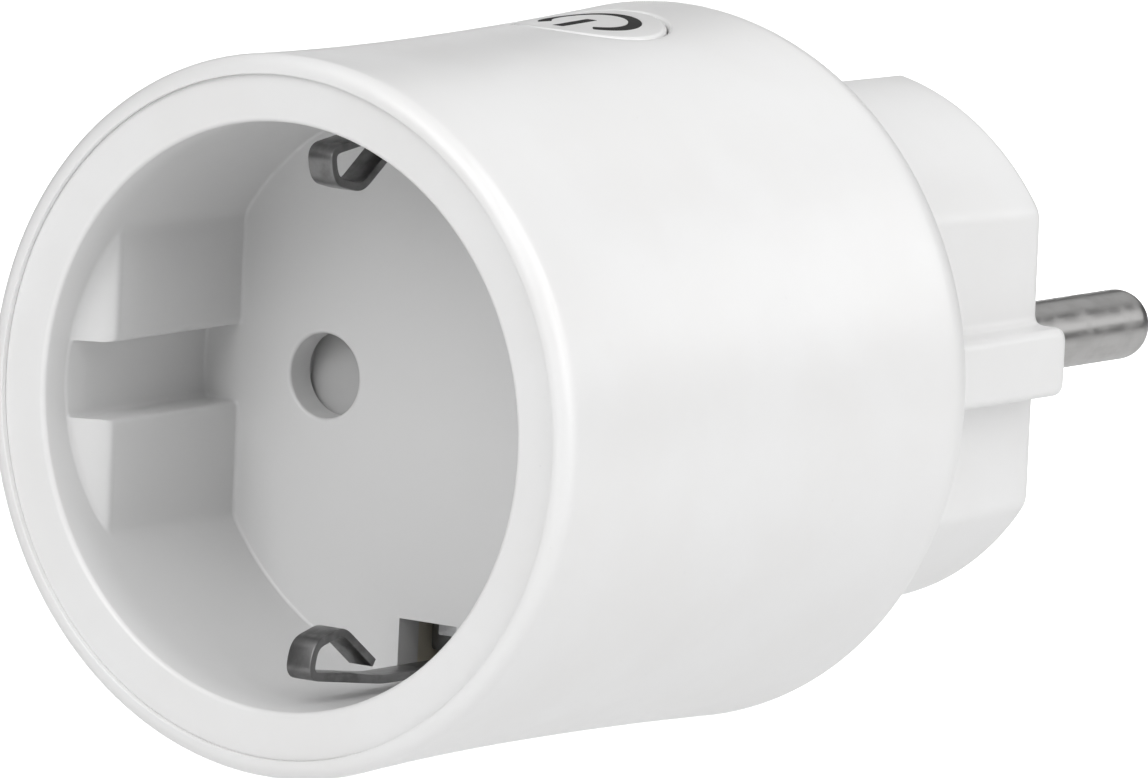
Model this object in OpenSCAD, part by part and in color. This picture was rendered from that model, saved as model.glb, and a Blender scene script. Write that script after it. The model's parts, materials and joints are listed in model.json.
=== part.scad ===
// In-line smart plug, built as separate pieces in millimetres.
// Origin: centre of the plug's mating face. +Y points into the wall, -Y to the user, +Z up.

/* [Body] */
// Radius of the body at its waist
waist_r = 23.6; // [23:0.1:30]
// Length of the body, from the front lip to the rear face
body_len = 46.8; // [46:0.2:60]
// Distance from the rear face to the waist
waist_pos = 28.6; // [22:0.2:34]
// How far the front edge stands out from the waist
front_flare = 0.4; // [0:0.05:1.5]
// How far the rear shoulder stands out from the waist
rear_flare = 0.55; // [0:0.05:1.5]
// Wall thickness of the body
shell_wall = 1.8; // [1.2:0.1:2]
// Outer radius of the rounded front lip
lip_round = 1.1; // [0.4:0.1:1.2]
// Radius of the rounded rear shoulder
shoulder_round = 3.7; // [2.5:0.1:5]

/* [Socket] */
// Radius of the socket recess
recess_r = 19.5; // [19.4:0.05:19.8]
// Depth of the socket recess
recess_depth = 17.5; // [17:0.1:18.5]
// Wall thickness around the recess
recess_wall = 1.5; // [1.2:0.1:1.6]
// Thickness of the socket floor
floor_t = 2.2; // [1.8:0.1:3]
// Thickness of the front ring
ring_t = 2; // [1.6:0.1:2.6]
// How far the ring's face lies behind the front lip
ring_set_back = 0.4; // [0:0.1:0.8]
// Radius on the edge of the recess mouth
mouth_round = 0.6; // [0.2:0.1:1]
// Distance from the centre to the flat face of the guide pads
pad_face = 16.6; // [16:0.1:17]
// Half of the gap between the upper and the lower guide pad
pad_gap_half = 2.6; // [2:0.1:3]
// Height of each guide pad
pad_height = 7.3; // [5:0.1:8]
// Distance from the mouth to the start of the guide pads
pad_start = 2.2; // [1.5:0.1:4]
// Length of the ramp at the front of the guide pads
pad_ramp = 1.6; // [0.5:0.1:3]
// Radius of the pin entry holes
entry_r = 2.85; // [2.6:0.05:3]
// Width of the earth clip slots
slot_w = 4.9; // [4.6:0.1:6]
// Distance from the centre to the inner edge of the earth clip slots
slot_inner = 15.4; // [15:0.1:16]

/* [Plug] */
// Length of the round boss that enters the wall socket
boss_len = 18.4; // [17:0.1:21]
// Radius of the boss at its face
boss_face_r = 18.3; // [18:0.1:18.6]
// Radius of the boss where it leaves the body
boss_root_r = 18.7; // [18.4:0.1:19]
// Radius on the edge of the boss face
boss_round = 1.2; // [0.4:0.1:2]
// Distance from the centre to the flat sides of the boss
flat_x = 15.4; // [15:0.1:16]
// Distance from the centre to the face of the side ribs
rib_x = 17.9; // [17:0.1:18.2]
// Height of the side ribs
rib_h = 4.7; // [4:0.1:6]
// Wall thickness of the boss face and its sides
boss_wall = 2; // [1.6:0.1:2.4]
// Radius of the plug pins
pin_r = 2.4; // [2.35:0.01:2.45]
// Length of the plug pins in front of the face
pin_len = 19; // [18.5:0.1:19.5]
// Distance between the pin centres
pin_pitch = 19; // [19:0.1:19.2]
// Radius on the end of the plug pins
pin_round = 1.9; // [1:0.1:2.3]

/* [Earth] */
// Width of the earth rails
rail_w = 4.2; // [3.6:0.1:4.4]
// Thickness of the earth rails
rail_t = 0.8; // [0.6:0.1:1]
// Distance from the centre to the outer face of the earth rails
rail_face = 16.6; // [16.2:0.1:16.8]
// Width of the spring part of the earth clips
clip_w = 2; // [1.6:0.1:4]
// Thickness of the earth clips
clip_t = 0.6; // [0.4:0.05:0.7]

/* [Button] */
// Distance from the front lip to the centre of the button
button_pos = 33.1; // [31:0.1:36]
// Radius of the button
button_r = 5.15; // [4.6:0.05:5.6]
// Gap around the button
button_gap = 0.15; // [0.1:0.01:0.3]
// Travel of the button
button_travel = 0.45; // [0.3:0.05:0.6]
// Outer radius of the power symbol
symbol_r = 3.5; // [2.5:0.05:4]
// Line width of the power symbol
symbol_line = 0.95; // [0.4:0.05:1.2]

/* [Electronics] */
// Thickness of the main board
board_t = 1.6; // [1.2:0.1:1.8]
// Gap between the edge of the main board and the body's wall
board_edge_gap = 2; // [1.8:0.1:2.2]
// Width of the relay
relay_w = 10.1; // [8:0.1:10.4]
// Height of the relay
relay_h = 18.4; // [15:0.1:18.6]
// Length of the relay
relay_len = 15.3; // [12:0.1:15.6]
// Radius of the two electrolytic capacitors
can_r = 3.9; // [3:0.1:3.95]
// Length of the two electrolytic capacitors
can_len = 12; // [8:0.5:16]

/* [Fits] */
// Gap between the body and the front ring
seam_gap = 0.12; // [0.08:0.01:0.3]
// General gap between pieces that are assembled loosely
loose_gap = 0.2; // [0.15:0.01:0.3]
// Gap of a pin or a screw in its hole
hole_gap = 0.05; // [0.03:0.01:0.1]

/* [Hidden] */

FINE = 128;
MID = 64;
SMALL = 32;
EPS = 0.01;

// Levels along Y, from the wall side to the user side
rear_y = -boss_len;
front_y = rear_y - body_len;
waist_y = rear_y - waist_pos;
ring_y = front_y + ring_set_back;
ring_back_y = ring_y + ring_t;
floor_y = ring_y + recess_depth;
floor_back_y = floor_y + floor_t;
front_shoulder_y = front_y + lip_round;
rear_shoulder_y = rear_y - shoulder_round;
flange_t = 1.8;
flange_y1 = rear_y - shell_wall - loose_gap / 2;
flange_y0 = flange_y1 - flange_t;
plate_t = 2.5;
plate_y1 = floor_back_y + plate_t;
pin_end_gap = 0.3;
carrier_y1 = floor_y + pin_len + pin_end_gap;
board_gap = 2;
board_y0 = carrier_y1 + board_gap;
board_y1 = board_y0 + board_t;
button_y = front_y + button_pos;

// Radii around Y
front_k = front_flare / pow(waist_y - front_shoulder_y, 2);
rear_k = rear_flare / pow(rear_shoulder_y - waist_y, 2);
function body_r(y) = waist_r + (y < waist_y ? front_k : rear_k) * pow(y - waist_y, 2);
lip_w = 1.3;
edge_break = 0.15;
seat_gap = 0.05;
seam_r = body_r(front_shoulder_y) - lip_w;
inner_r = waist_r - shell_wall;
rear_opening_r = boss_root_r + loose_gap;
flange_r = inner_r - 1.6;
carrier_r = inner_r - 1.2;
key_half_w = 1.2;
key_height = 0.7;
board_r = inner_r - board_edge_gap;

// Part of each plug pin that is moulded into the boss
shank_r = pin_r - 0.3;
pin_relief = 0.3;

// Hollow of the boss
hollow_r = 16.3;
rib_chamfer = 0.6;
collar_r = pin_r + 0.9;
collar_t = 2.3;
hollow_x = flat_x - boss_wall + loose_gap;
hollow_z = rail_face - rail_t - boss_wall + loose_gap;

// Earth path
rail_mid = rail_face - rail_t / 2;
groove_half_w = rail_w / 2 + 0.3;
groove_end_y = rear_y + 0.2;
rail_end_y = -0.8;
rail_lip = 1.7;
clip_foot_w = 4.2;
clip_foot_y = floor_back_y + 1.4;
clip_foot_inner = 15;
rail_front_y = clip_foot_y + clip_t / 2 + loose_gap;
tab_w = 2;
tab_len = 1.5;
leg_z = recess_r - 1;
bridge_t = 0.6;
bridge_y = carrier_y1 + bridge_t / 2 + 0.1;
bridge_fold = 3.8;
rivet_y = bridge_y - bridge_fold / 2 - 0.1;
bridge_bend_r = 0.7;
rivet_r = 0.8;
rivet_head_r = 1.3;
rivet_head_h = 0.45;
rivet_tail_h = 0.4;
clip_bends = [0.7, 8, 0.8, 0.9, 1.3];
clip_foot_rise = 0.7;

// Shutter
shutter_t = 1.6;
shutter_half_h = 3.4;
shutter_half_w = 12.8;
shutter_travel = 6;
shutter_gap = 0.22;
shutter_side_gap = 0.3;
slope_rise = 1;
slope_land = 0.4;
shutter_y0 = floor_back_y + shutter_gap;
shutter_y1 = shutter_y0 + shutter_t;
chamber_depth = shutter_t + 2 * shutter_gap;
spring_r = 0.82;
spring_wire = 0.26;
spring_turns = 9;
spring_foot_z = -14.1;
spring_top_z = -1.5;
spring_y = floor_back_y + chamber_depth / 2;
spring_pocket_half_w = 1.3;

// Contacts
chamber_r = 4.2;
contact_in_r = 2.3;
contact_wall = 0.6;
contact_plate_t = 0.8;
contact_tail_x = pin_pitch / 2 + 4.9;
contact_tail_half_t = 0.4;
contact_tail_half_h = 1.5;
contact_slot_half_w = 0.4;
contact_ring_len = 3;
chamber_wall = 1.3;
funnel_len = 1.6;
bell_len = 1.4;
bell_flare = 0.35;
tail_r = 1.2;

// Snap arms
arm_x = carrier_r - 2.2;
arm_t = 1.5;
arm_half_w = 2.4;
hook_reach = 0.8;
hook_y1 = floor_back_y + 1.15;

// Carrier screws into the guide pads
screw_x = pad_face + 1.7;
screw_z = pad_gap_half + pad_height / 2;
screw_r = 0.95;
screw_depth = 8;
screw_head_r = 1.9;
screw_head_h = 1.3;
drive_half_w = 0.2;
drive_half_len = 1.1;
drive_depth = 0.6;

// Button stack, from the sleeve wall down
flange_ring_r = button_r + 0.85;
stack_top_z = sqrt(pow(inner_r, 2) - pow(flange_ring_r + loose_gap, 2)) - 0.25;
cap_ring_t = 0.6;
cap_base_z = stack_top_z - cap_ring_t;
cap_hollow_r = button_r - 0.8;
cap_skin = 1.4;
stem_r = 1.6;
plunger_r = 1.2;
plunger_gap = 0.05;
switch_top_z = cap_base_z - button_travel - plunger_gap;
switch_h = 1.5;
switch_w = 4.5;
small_board_t = 0.8;
small_board_z = switch_top_z - switch_h - small_board_t;
small_board_half_w = 8.4;
small_board_front_y = button_y - 7;
small_board_rear_y = board_y0 - 1.8;
wall_x0 = 5.4;
wall_x1 = 7.8;
wall_front_y = small_board_front_y + 0.4;
wall_rear_y = carrier_y1 - 2;
small_screw_y = small_board_front_y + 1.7;
small_screw_x = (wall_x0 + wall_x1) / 2;
small_screw_r = 0.7;
small_screw_len = 4.5;
small_head_r = 1.3;
small_head_h = 0.9;
wall_inner_z = 3;
plunger_depth = 0.55;
plunger_hole_depth = 1.15;
led_size = [1.6, 0.8, 0.6];
led_from_button = 3.1;
symbol_bar_over = 0.2;
symbol_bar_in = 0.3;
symbol_depth = 0.35;
symbol_gap_angle = 40;

// Wireless board under the contacts
wifi_z = -12.4;
wifi_half_w = 8;
wifi_front_y = plate_y1 + 1;
wifi_rear_y = carrier_y1 - 0.6;
shield_h = 2.2;
shield_half_w = 6;
shield_len = 8;
shield_wall = 0.25;
header_x = [-7.3, -5.3, -3.3, 3.3, 5.3, 7.3];
button_header_x = [-4.8, -3.2, 3.2, 4.8];
header_w = 0.6;
tail_y1 = board_y1 + 0.6;
header_hole_r = 0.5;
board_hole_gap = 0.15;

// Parts on the rear side of the main board: each place is [x, z]
relay_z = -4.5;
can_places = [[-4.15, 9.3], [4.15, 9.3]];
varistor_place = [10.6, 6.7];
varistor_r = 3.2;
varistor_t = 3;
fuse_place = [-11, 6.6];
fuse_r = 1.9;
inductor_place = [9.6, -8.2];
inductor_r = 3.4;
inductor_len = 9;
film_place = [-9.3, -6.9];
film_size = [6, 6.8, 11];
rectifier_size = [4.6, 4.2, 1.5];
regulator_size = [4.9, 3.9, 1.45];
fuse_len = 9.5;
core_flange_t = 1.2;
core_flange_w = 1.5;
rectifier_place = [11.4, 11.8];
regulator_place = [-11.4, 11.8];
board_post_r = 18.1;
board_posts = [[board_post_r * cos(45), -board_post_r * sin(45)],
    [-board_post_r * cos(45), -board_post_r * sin(45)]];
post_r = 1.8;
post_screw_r = 0.8;
post_screw_head_r = 1.6;
post_screw_head_h = 1;
post_screw_depth = 3;
part_lift = 0.05;
leg_r = 0.35;
leg_inset = 1.6;
leg_out = 1;

// Rounds each inner corner of the path p with the radii r
function unit(v) = v / norm(v);
function corner(a, b, c, r, n) =
    let (u = unit(a - b), v = unit(c - b))
    let (half = acos(u * v) / 2, m = b + unit(u + v) * r / sin(half))
    let (s = b + u * r / tan(half) - m, side = u[0] * v[1] - u[1] * v[0])
    let (turn = (side > 0 ? -1 : 1) * (180 - 2 * half), a0 = atan2(s[1], s[0]))
    [for (i = [0:n]) m + r * [cos(a0 + turn * i / n), sin(a0 + turn * i / n)]];
function rounded_path(p, r, n = 8) = concat([p[0]],
    [for (i = [1:len(p) - 2]) each corner(p[i - 1], p[i], p[i + 1], r[i - 1], n)],
    [p[len(p) - 1]]);
// Outline of a strip of thickness t whose middle line is the path q
function normal_at(q, i) =
    let (a = q[max(i - 1, 0)], b = q[min(i + 1, len(q) - 1)], d = unit(b - a))
    [-d[1], d[0]];
function strip_outline(q, t) = concat(
    [for (i = [0:len(q) - 1]) q[i] + normal_at(q, i) * t / 2],
    [for (i = [len(q) - 1:-1:0]) q[i] - normal_at(q, i) * t / 2]);
// Points of an arc about the centre c
function arc(c, r, a0, a1, n = 8) =
    [for (i = [0:n]) c + r * [cos(a0 + (a1 - a0) * i / n), sin(a0 + (a1 - a0) * i / n)]];
// Points of the body's side between two levels, moved inwards by the inset
function side_points(y0, y1, inset, n = 14) =
    [for (i = [0:n]) let (y = y0 + (y1 - y0) * i / n) [body_r(y) - inset, y]];

// Turns a profile of [radius, y] points about the Y axis
module turned(points, fn = FINE) {
    rotate([-90, 0, 0])
        rotate_extrude($fn = fn)
            polygon(points);
}

// Extrudes an outline in X and Z between two levels of Y
module slab(y0, y1) {
    translate([0, y1, 0])
        rotate([90, 0, 0])
            linear_extrude(y1 - y0)
                children();
}

// Extrudes an outline in Y and Z to a width w across X
module across(w) {
    translate([-w / 2, 0, 0])
        rotate([90, 0, 90])
            linear_extrude(w)
                children();
}

// A round bar or hole along Y at the place [x, z]
module rod(place, r, y0, y1, fn = SMALL) {
    translate([place[0], y0, place[1]])
        rotate([-90, 0, 0])
            cylinder(r = r, h = y1 - y0, $fn = fn);
}

// A box given by its lowest and highest corners
module block(low, high) {
    translate(low)
        cube(high - low);
}

module both_sides() {
    children();
    mirror([1, 0, 0])
        children();
}

module both_ends() {
    children();
    mirror([0, 0, 1])
        children();
}

// The same for a flat outline, whose second axis becomes Z
module both_outline_ends() {
    children();
    mirror([0, 1])
        children();
}

// ---- Casing ----

module outer_sleeve() {
    front_c = [body_r(front_shoulder_y) - lip_round, front_shoulder_y];
    rear_c = [body_r(rear_shoulder_y) - shoulder_round, rear_shoulder_y];
    step_y = ring_back_y + seat_gap;
    profile = concat(
        [[seam_r, step_y], [seam_r, front_y + edge_break], [seam_r + edge_break, front_y]],
        arc(front_c, lip_round, -90, 0),
        side_points(front_shoulder_y, rear_shoulder_y, 0),
        arc(rear_c, shoulder_round, 0, 90),
        [[rear_opening_r, rear_y], [rear_opening_r, rear_y - shell_wall]],
        arc(rear_c, shoulder_round - shell_wall, 90, 0),
        side_points(rear_shoulder_y, step_y, shell_wall));
    key_y0 = floor_back_y + loose_gap;
    color("white")
        difference() {
            union() {
                turned(profile);
                // Key that stops the sleeve from turning on the carrier
                rotate([0, -45, 0])
                    block([carrier_r - key_height, key_y0, -key_half_w],
                        [inner_r + shell_wall / 4, carrier_y1 - 2, key_half_w]);
            }
            translate([0, button_y, 0])
                cylinder(r = button_r + button_gap, h = waist_r * 2, $fn = MID);
        }
}

module guide_pads() {
    start_y = ring_y + pad_start;
    outline = [[pad_face, start_y + pad_ramp], [recess_r + 0.5, start_y],
        [recess_r + 0.5, floor_y + 0.5], [pad_face, floor_y + 0.5]];
    intersection() {
        rod([0, 0], recess_r + 0.4, start_y, floor_y + 0.5, FINE);
        both_ends()
            both_sides()
                translate([0, 0, pad_gap_half])
                    linear_extrude(pad_height)
                        polygon(outline);
    }
}

module earth_slots(outer) {
    both_outline_ends()
        intersection() {
            circle(r = outer, $fn = FINE);
            translate([-slot_w / 2, slot_inner])
                square([slot_w, outer]);
        }
}

module socket_insert() {
    ring_r = seam_r - seam_gap;
    outer = recess_r + recess_wall;
    mouth_c = [recess_r + mouth_round, ring_y + mouth_round];
    profile = concat(
        [[0, floor_back_y], [outer, floor_back_y], [outer, ring_back_y], [ring_r, ring_back_y],
            [ring_r, ring_y + edge_break], [ring_r - edge_break, ring_y]],
        arc(mouth_c, mouth_round, 270, 180),
        [[recess_r, floor_y], [0, floor_y]]);
    color("white")
        difference() {
            union() {
                turned(profile);
                guide_pads();
            }
            both_sides()
                rod([pin_pitch / 2, 0], entry_r, floor_y - 1, floor_back_y + 1, MID);
            slab(floor_y - EPS, floor_back_y + 1)
                earth_slots(recess_r);
            both_ends()
                both_sides()
                    rod([screw_x, screw_z], screw_r + hole_gap, floor_back_y - screw_depth - 0.5,
                        floor_back_y + 1);
        }
}

// Outline of the boss: a circle with flat sides and a rib on each side
module boss_outline() {
    cut = rib_chamfer;
    rib = [[0, -rib_h / 2], [rib_x - cut, -rib_h / 2], [rib_x, -rib_h / 2 + cut],
        [rib_x, rib_h / 2 - cut], [rib_x - cut, rib_h / 2], [0, rib_h / 2]];
    intersection() {
        circle(r = boss_root_r, $fn = FINE);
        union() {
            square([2 * flat_x, 2 * boss_root_r], center = true);
            both_sides()
                polygon(rib);
        }
    }
}

module boss_hollow() {
    intersection() {
        circle(r = hollow_r, $fn = FINE);
        square([2 * hollow_x, 2 * hollow_z], center = true);
    }
}

module snap_arm() {
    hook = [[arm_x, flange_y0 + 0.5], [arm_x + arm_t, flange_y0 + 0.5],
        [arm_x + arm_t, floor_back_y + 2 * edge_break],
        [arm_x + arm_t - hook_reach - 0.1, floor_back_y + edge_break],
        [arm_x - hook_reach, hook_y1 - 0.4], [arm_x - hook_reach, hook_y1], [arm_x, hook_y1]];
    translate([0, 0, -arm_half_w])
        linear_extrude(2 * arm_half_w)
            polygon(hook);
}

module plug_base() {
    root_y = rear_y - 0.5;
    face_c = [boss_face_r - boss_round, -boss_round];
    boss = concat(
        [[0, root_y], [boss_root_r, root_y]],
        arc(face_c, boss_round, 0, 90),
        [[0, 0]]);
    neck = [[0, flange_y0], [flange_r, flange_y0], [flange_r, flange_y1],
        [boss_root_r, flange_y1], [boss_root_r, root_y], [0, root_y]];
    rail_slot = loose_gap / 2;
    color("white")
        difference() {
            union() {
                intersection() {
                    turned(boss);
                    slab(root_y - 1, 1)
                        boss_outline();
                }
                turned(neck);
                for (p = board_posts)
                    rod(p, post_r, board_y1, flange_y0 + 0.5);
                both_sides()
                    snap_arm();
            }
            slab(flange_y0 - 1, -boss_wall)
                boss_hollow();
            // Holes for the pins, each with a shallow relief as wide as the pin
            both_sides() {
                rod([pin_pitch / 2, 0], shank_r + hole_gap, -boss_wall - 1, 1, MID);
                rod([pin_pitch / 2, 0], pin_r, -pin_relief, 1, MID);
            }
            // Open groove over each earth rail, and its slot through the neck and the flange
            both_ends() {
                block([-groove_half_w, groove_end_y, rail_face - rail_t - hole_gap],
                    [groove_half_w, 1, boss_root_r + 1]);
                block([-rail_w / 2 - rail_slot, flange_y0 - 1, rail_face - rail_t - rail_slot],
                    [rail_w / 2 + rail_slot, groove_end_y + 1, rail_face + rail_slot]);
                block([-rail_w / 2 - rail_slot, rail_end_y - rail_t - rail_slot,
                    rail_face - rail_t - rail_lip - rail_slot],
                    [rail_w / 2 + rail_slot, 1, rail_face]);
            }
            for (p = board_posts)
                rod(p, post_screw_r + hole_gap, board_y1 - 1, flange_y1 - 0.5);
        }
}

// ---- Plug pins ----

module plug_pin(side) {
    collar_y1 = -boss_wall - seat_gap;
    collar_y0 = collar_y1 - collar_t;
    profile = concat(
        [[0, board_y0 - 0.8], [tail_r, board_y0 - 0.8], [tail_r, collar_y0],
            [collar_r, collar_y0], [collar_r, collar_y1], [shank_r, collar_y1],
            [shank_r, 0], [pin_r, 0]],
        arc([pin_r - pin_round, pin_len - pin_round], pin_round, 0, 90),
        [[0, pin_len]]);
    color("silver")
        translate([side * pin_pitch / 2, 0, 0])
            turned(profile, MID);
}

module plug_pin_left() {
    plug_pin(-1);
}

module plug_pin_right() {
    plug_pin(1);
}

// ---- Earth path ----

module earth_rail() {
    bend_r = rail_t / 2 + 0.1;
    rail_path = rounded_path([[rail_front_y, rail_mid], [rail_end_y - rail_t / 2, rail_mid],
        [rail_end_y - rail_t / 2, rail_mid - rail_lip]], [bend_r]);
    color("darkgray")
        difference() {
            union() {
                across(rail_w)
                    polygon(strip_outline(rail_path, rail_t));
                // Tab that holds the foot of the clip
                block([-tab_w / 2, rail_front_y - tab_len, rail_mid - rail_t / 2],
                    [tab_w / 2, rail_front_y + 0.5, rail_mid + rail_t / 2]);
            }
            translate([0, rivet_y, rail_mid - 1])
                cylinder(r = rivet_r + hole_gap, h = 2, $fn = SMALL);
        }
}

module earth_rail_top() {
    earth_rail();
}

module earth_rail_bottom() {
    mirror([0, 0, 1])
        earth_rail();
}

module earth_bridge() {
    z = rail_face - rail_t - bridge_t / 2;
    bridge_path = rounded_path([[bridge_y - bridge_fold, z], [bridge_y, z], [bridge_y, -z],
        [bridge_y - bridge_fold, -z]], [bridge_bend_r, bridge_bend_r]);
    color("darkgray")
        difference() {
            across(rail_w)
                polygon(strip_outline(bridge_path, bridge_t));
            translate([0, rivet_y, -rail_face])
                cylinder(r = rivet_r + hole_gap, h = 2 * rail_face, $fn = SMALL);
        }
}

module bridge_rivets() {
    inner_z = rail_face - rail_t - bridge_t;
    color("silver")
        both_ends()
            translate([0, rivet_y, 0]) {
                translate([0, 0, inner_z - rivet_tail_h])
                    cylinder(r = rivet_head_r, h = rivet_tail_h, $fn = SMALL);
                translate([0, 0, inner_z - rivet_tail_h / 2])
                    cylinder(r = rivet_r, h = rail_t + bridge_t + rivet_tail_h, $fn = SMALL);
                translate([0, 0, rail_face])
                    cylinder(r = rivet_head_r, h = rivet_head_h, $fn = SMALL);
            }
}

// A foot plate on the rail's tab, and one strip bent into a leg, a nose and a return leaf
module earth_clip() {
    strip = rounded_path([[clip_foot_y, leg_z - 1.4], [clip_foot_y, leg_z],
        [floor_y - 5.9, leg_z], [ring_y + 3.5, leg_z - 1], [ring_y + 4, leg_z - 3.05],
        [ring_y + 6.9, leg_z - 3.75], [ring_y + 10.4, leg_z - 1.25]], clip_bends);
    color("dimgray")
        difference() {
            union() {
                across(clip_w)
                    polygon(strip_outline(strip, clip_t));
                block([-clip_foot_w / 2, clip_foot_y - clip_t / 2, clip_foot_inner],
                    [clip_foot_w / 2, clip_foot_y + clip_t / 2, leg_z - clip_foot_rise]);
            }
            block([-tab_w / 2 - loose_gap, clip_foot_y - 2, rail_face - rail_t - loose_gap],
                [tab_w / 2 + loose_gap, clip_foot_y + 2, rail_face + loose_gap]);
        }
}

module earth_clip_top() {
    earth_clip();
}

module earth_clip_bottom() {
    mirror([0, 0, 1])
        earth_clip();
}

// ---- Contacts and their carrier ----

module carrier_body_outline() {
    r = chamber_r + chamber_wall;
    both_sides()
        translate([pin_pitch / 2, 0])
            circle(r = r, $fn = MID);
    square([pin_pitch, 2 * r], center = true);
}

module contact_carrier() {
    chamber_y1 = floor_back_y + chamber_depth;
    color("whitesmoke")
        difference() {
            union() {
                rod([0, 0], carrier_r, floor_back_y, plate_y1, FINE);
                slab(plate_y1 - 0.5, carrier_y1)
                    carrier_body_outline();
                // Walls that carry the button board above and the wireless board below
                both_sides() {
                    block([wall_x0, wall_front_y, wall_inner_z], [wall_x1, wall_rear_y, small_board_z]);
                    block([wall_x0, wall_front_y, wifi_z + small_board_t],
                        [wall_x1, wall_rear_y, -wall_inner_z]);
                }
            }
            // Shutter chamber and the pocket of its spring
            block([-shutter_half_w - shutter_side_gap, floor_back_y - 1,
                -shutter_half_h - shutter_travel - 2 * loose_gap],
                [shutter_half_w + shutter_side_gap, chamber_y1, shutter_half_h + shutter_side_gap]);
            block([-spring_pocket_half_w, floor_back_y - 1, spring_foot_z - seat_gap],
                [spring_pocket_half_w, chamber_y1, -shutter_half_h]);
            both_sides() {
                rod([pin_pitch / 2, 0], entry_r + hole_gap, chamber_y1 - 1, funnel_y() + 1, MID);
                rod([pin_pitch / 2, 0], chamber_r, funnel_y(), carrier_y1 + 1, MID);
                // Window and pocket for the snap arm
                block([arm_x - loose_gap, floor_back_y - 1, -arm_half_w - loose_gap],
                    [carrier_r + 1, plate_y1 + 1, arm_half_w + loose_gap]);
                block([arm_x - hook_reach - loose_gap, floor_back_y - 1, -arm_half_w - loose_gap],
                    [arm_x + 1, hook_y1 + 0.1, arm_half_w + loose_gap]);
            }
            both_ends() {
                both_sides()
                    rod([screw_x, screw_z], screw_r + board_hole_gap, floor_back_y - 1, plate_y1 + 1);
                // Room for the foot of the clip and the rail
                block([-clip_foot_w / 2 - 2 * loose_gap, floor_back_y - 1, clip_foot_inner - 0.3],
                    [clip_foot_w / 2 + 2 * loose_gap, plate_y1 + 1, recess_r + 0.1]);
            }
            // Notch for the sleeve's key
            rotate([0, -45, 0])
                block([carrier_r - key_height - loose_gap, floor_back_y - 1, -key_half_w - loose_gap],
                    [carrier_r + 1, plate_y1 + 1, key_half_w + loose_gap]);
            both_sides()
                translate([small_screw_x, small_screw_y, small_board_z - 5])
                    cylinder(r = small_screw_r + hole_gap, h = 6, $fn = SMALL);
        }
}

module contact(side) {
    outer = contact_in_r + contact_wall;
    tube = [[contact_in_r + bell_flare, funnel_y() + 0.3], [outer, funnel_y() + bell_len / 2],
        [outer, carrier_y1 + EPS], [contact_in_r, carrier_y1 + EPS],
        [contact_in_r, funnel_y() + bell_len]];
    x0 = pin_pitch / 2;
    color("goldenrod")
        mirror([side < 0 ? 1 : 0, 0, 0])
            difference() {
                union() {
                    translate([x0, 0, 0])
                        turned(tube, MID);
                    block([x0 - outer, carrier_y1, -outer],
                        [contact_tail_x + contact_tail_half_t, carrier_y1 + contact_plate_t, outer]);
                    block([contact_tail_x - contact_tail_half_t, carrier_y1, -contact_tail_half_h],
                        [contact_tail_x + contact_tail_half_t, tail_y1, contact_tail_half_h]);
                }
                block([x0 - outer - 1, funnel_y() - 1, -contact_slot_half_w],
                    [x0 + outer + 1, carrier_y1 - contact_ring_len, contact_slot_half_w]);
            }
}

function funnel_y() = floor_back_y + chamber_depth + funnel_len;

module contact_left() {
    contact(-1);
}

module contact_right() {
    contact(1);
}

// Pan-head screw along Y with its head at y and its tip towards -Y
module pan_screw(place, r, head_r, head_h, y, len) {
    rod(place, r, y - len, y + head_h / 2);
    rod(place, head_r, y, y + head_h);
}

module carrier_screws() {
    color("silver")
        both_ends()
            both_sides()
                difference() {
                    pan_screw([screw_x, screw_z], screw_r, screw_head_r, screw_head_h, plate_y1,
                        plate_t + screw_depth);
                    for (size = [[drive_half_len, drive_half_w], [drive_half_w, drive_half_len]])
                        block([screw_x - size[0], plate_y1 + screw_head_h - drive_depth,
                            screw_z - size[1]],
                            [screw_x + size[0], plate_y1 + screw_head_h + 1, screw_z + size[1]]);
                }
}

// ---- Shutter ----

module shutter() {
    foot_z = -shutter_half_h + slope_land;
    slope_y = shutter_y0 + slope_rise;
    wedge = [[shutter_y0 - 1, foot_z], [shutter_y0, foot_z], [slope_y, shutter_half_h],
        [slope_y, shutter_half_h + 1], [shutter_y0 - 1, shutter_half_h + 1]];
    color("gainsboro")
        difference() {
            block([-shutter_half_w, shutter_y0, -shutter_half_h],
                [shutter_half_w, shutter_y1, shutter_half_h]);
            // Slopes that the two pins slide on
            both_sides()
                translate([pin_pitch / 2, 0, 0])
                    across(2 * entry_r + 3 * loose_gap)
                        polygon(wedge);
            block([-spring_pocket_half_w, shutter_y0 - 1, -shutter_half_h - 1],
                [spring_pocket_half_w, shutter_y1 + 1, spring_top_z]);
        }
}

// Coil of round wire as one swept tube along Z
module shutter_spring() {
    sides = 8;
    steps = 12;
    rings = spring_turns * steps;
    z0 = spring_foot_z + spring_wire / 2 + seat_gap;
    z1 = spring_top_z - spring_wire / 2 - seat_gap;
    points = [for (i = [0:rings]) let (a = 360 * i / steps, z = z0 + (z1 - z0) * i / rings)
        for (k = [0:sides - 1]) let (b = 360 * k / sides, r = spring_r + spring_wire / 2 * cos(b))
            [r * cos(a), spring_y + r * sin(a), z + spring_wire / 2 * sin(b)]];
    side_faces = [for (i = [0:rings - 1]) for (k = [0:sides - 1])
        let (p = i * sides + k, q = i * sides + (k + 1) % sides)
            each [[p, p + sides, q], [q, p + sides, q + sides]]];
    ends = [[for (k = [0:sides - 1]) k], [for (k = [sides - 1:-1:0]) rings * sides + k]];
    color("silver")
        polyhedron(points, concat(side_faces, ends), convexity = 10);
}

// ---- Button ----

// The solid inside the body's outer surface near the button, moved inwards by the inset
module body_core(inset) {
    y0 = button_y - button_r - 4;
    y1 = button_y + button_r + 4;
    turned(concat([[0, y0]], side_points(y0, y1, inset, 9), [[0, y1]]));
}

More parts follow.
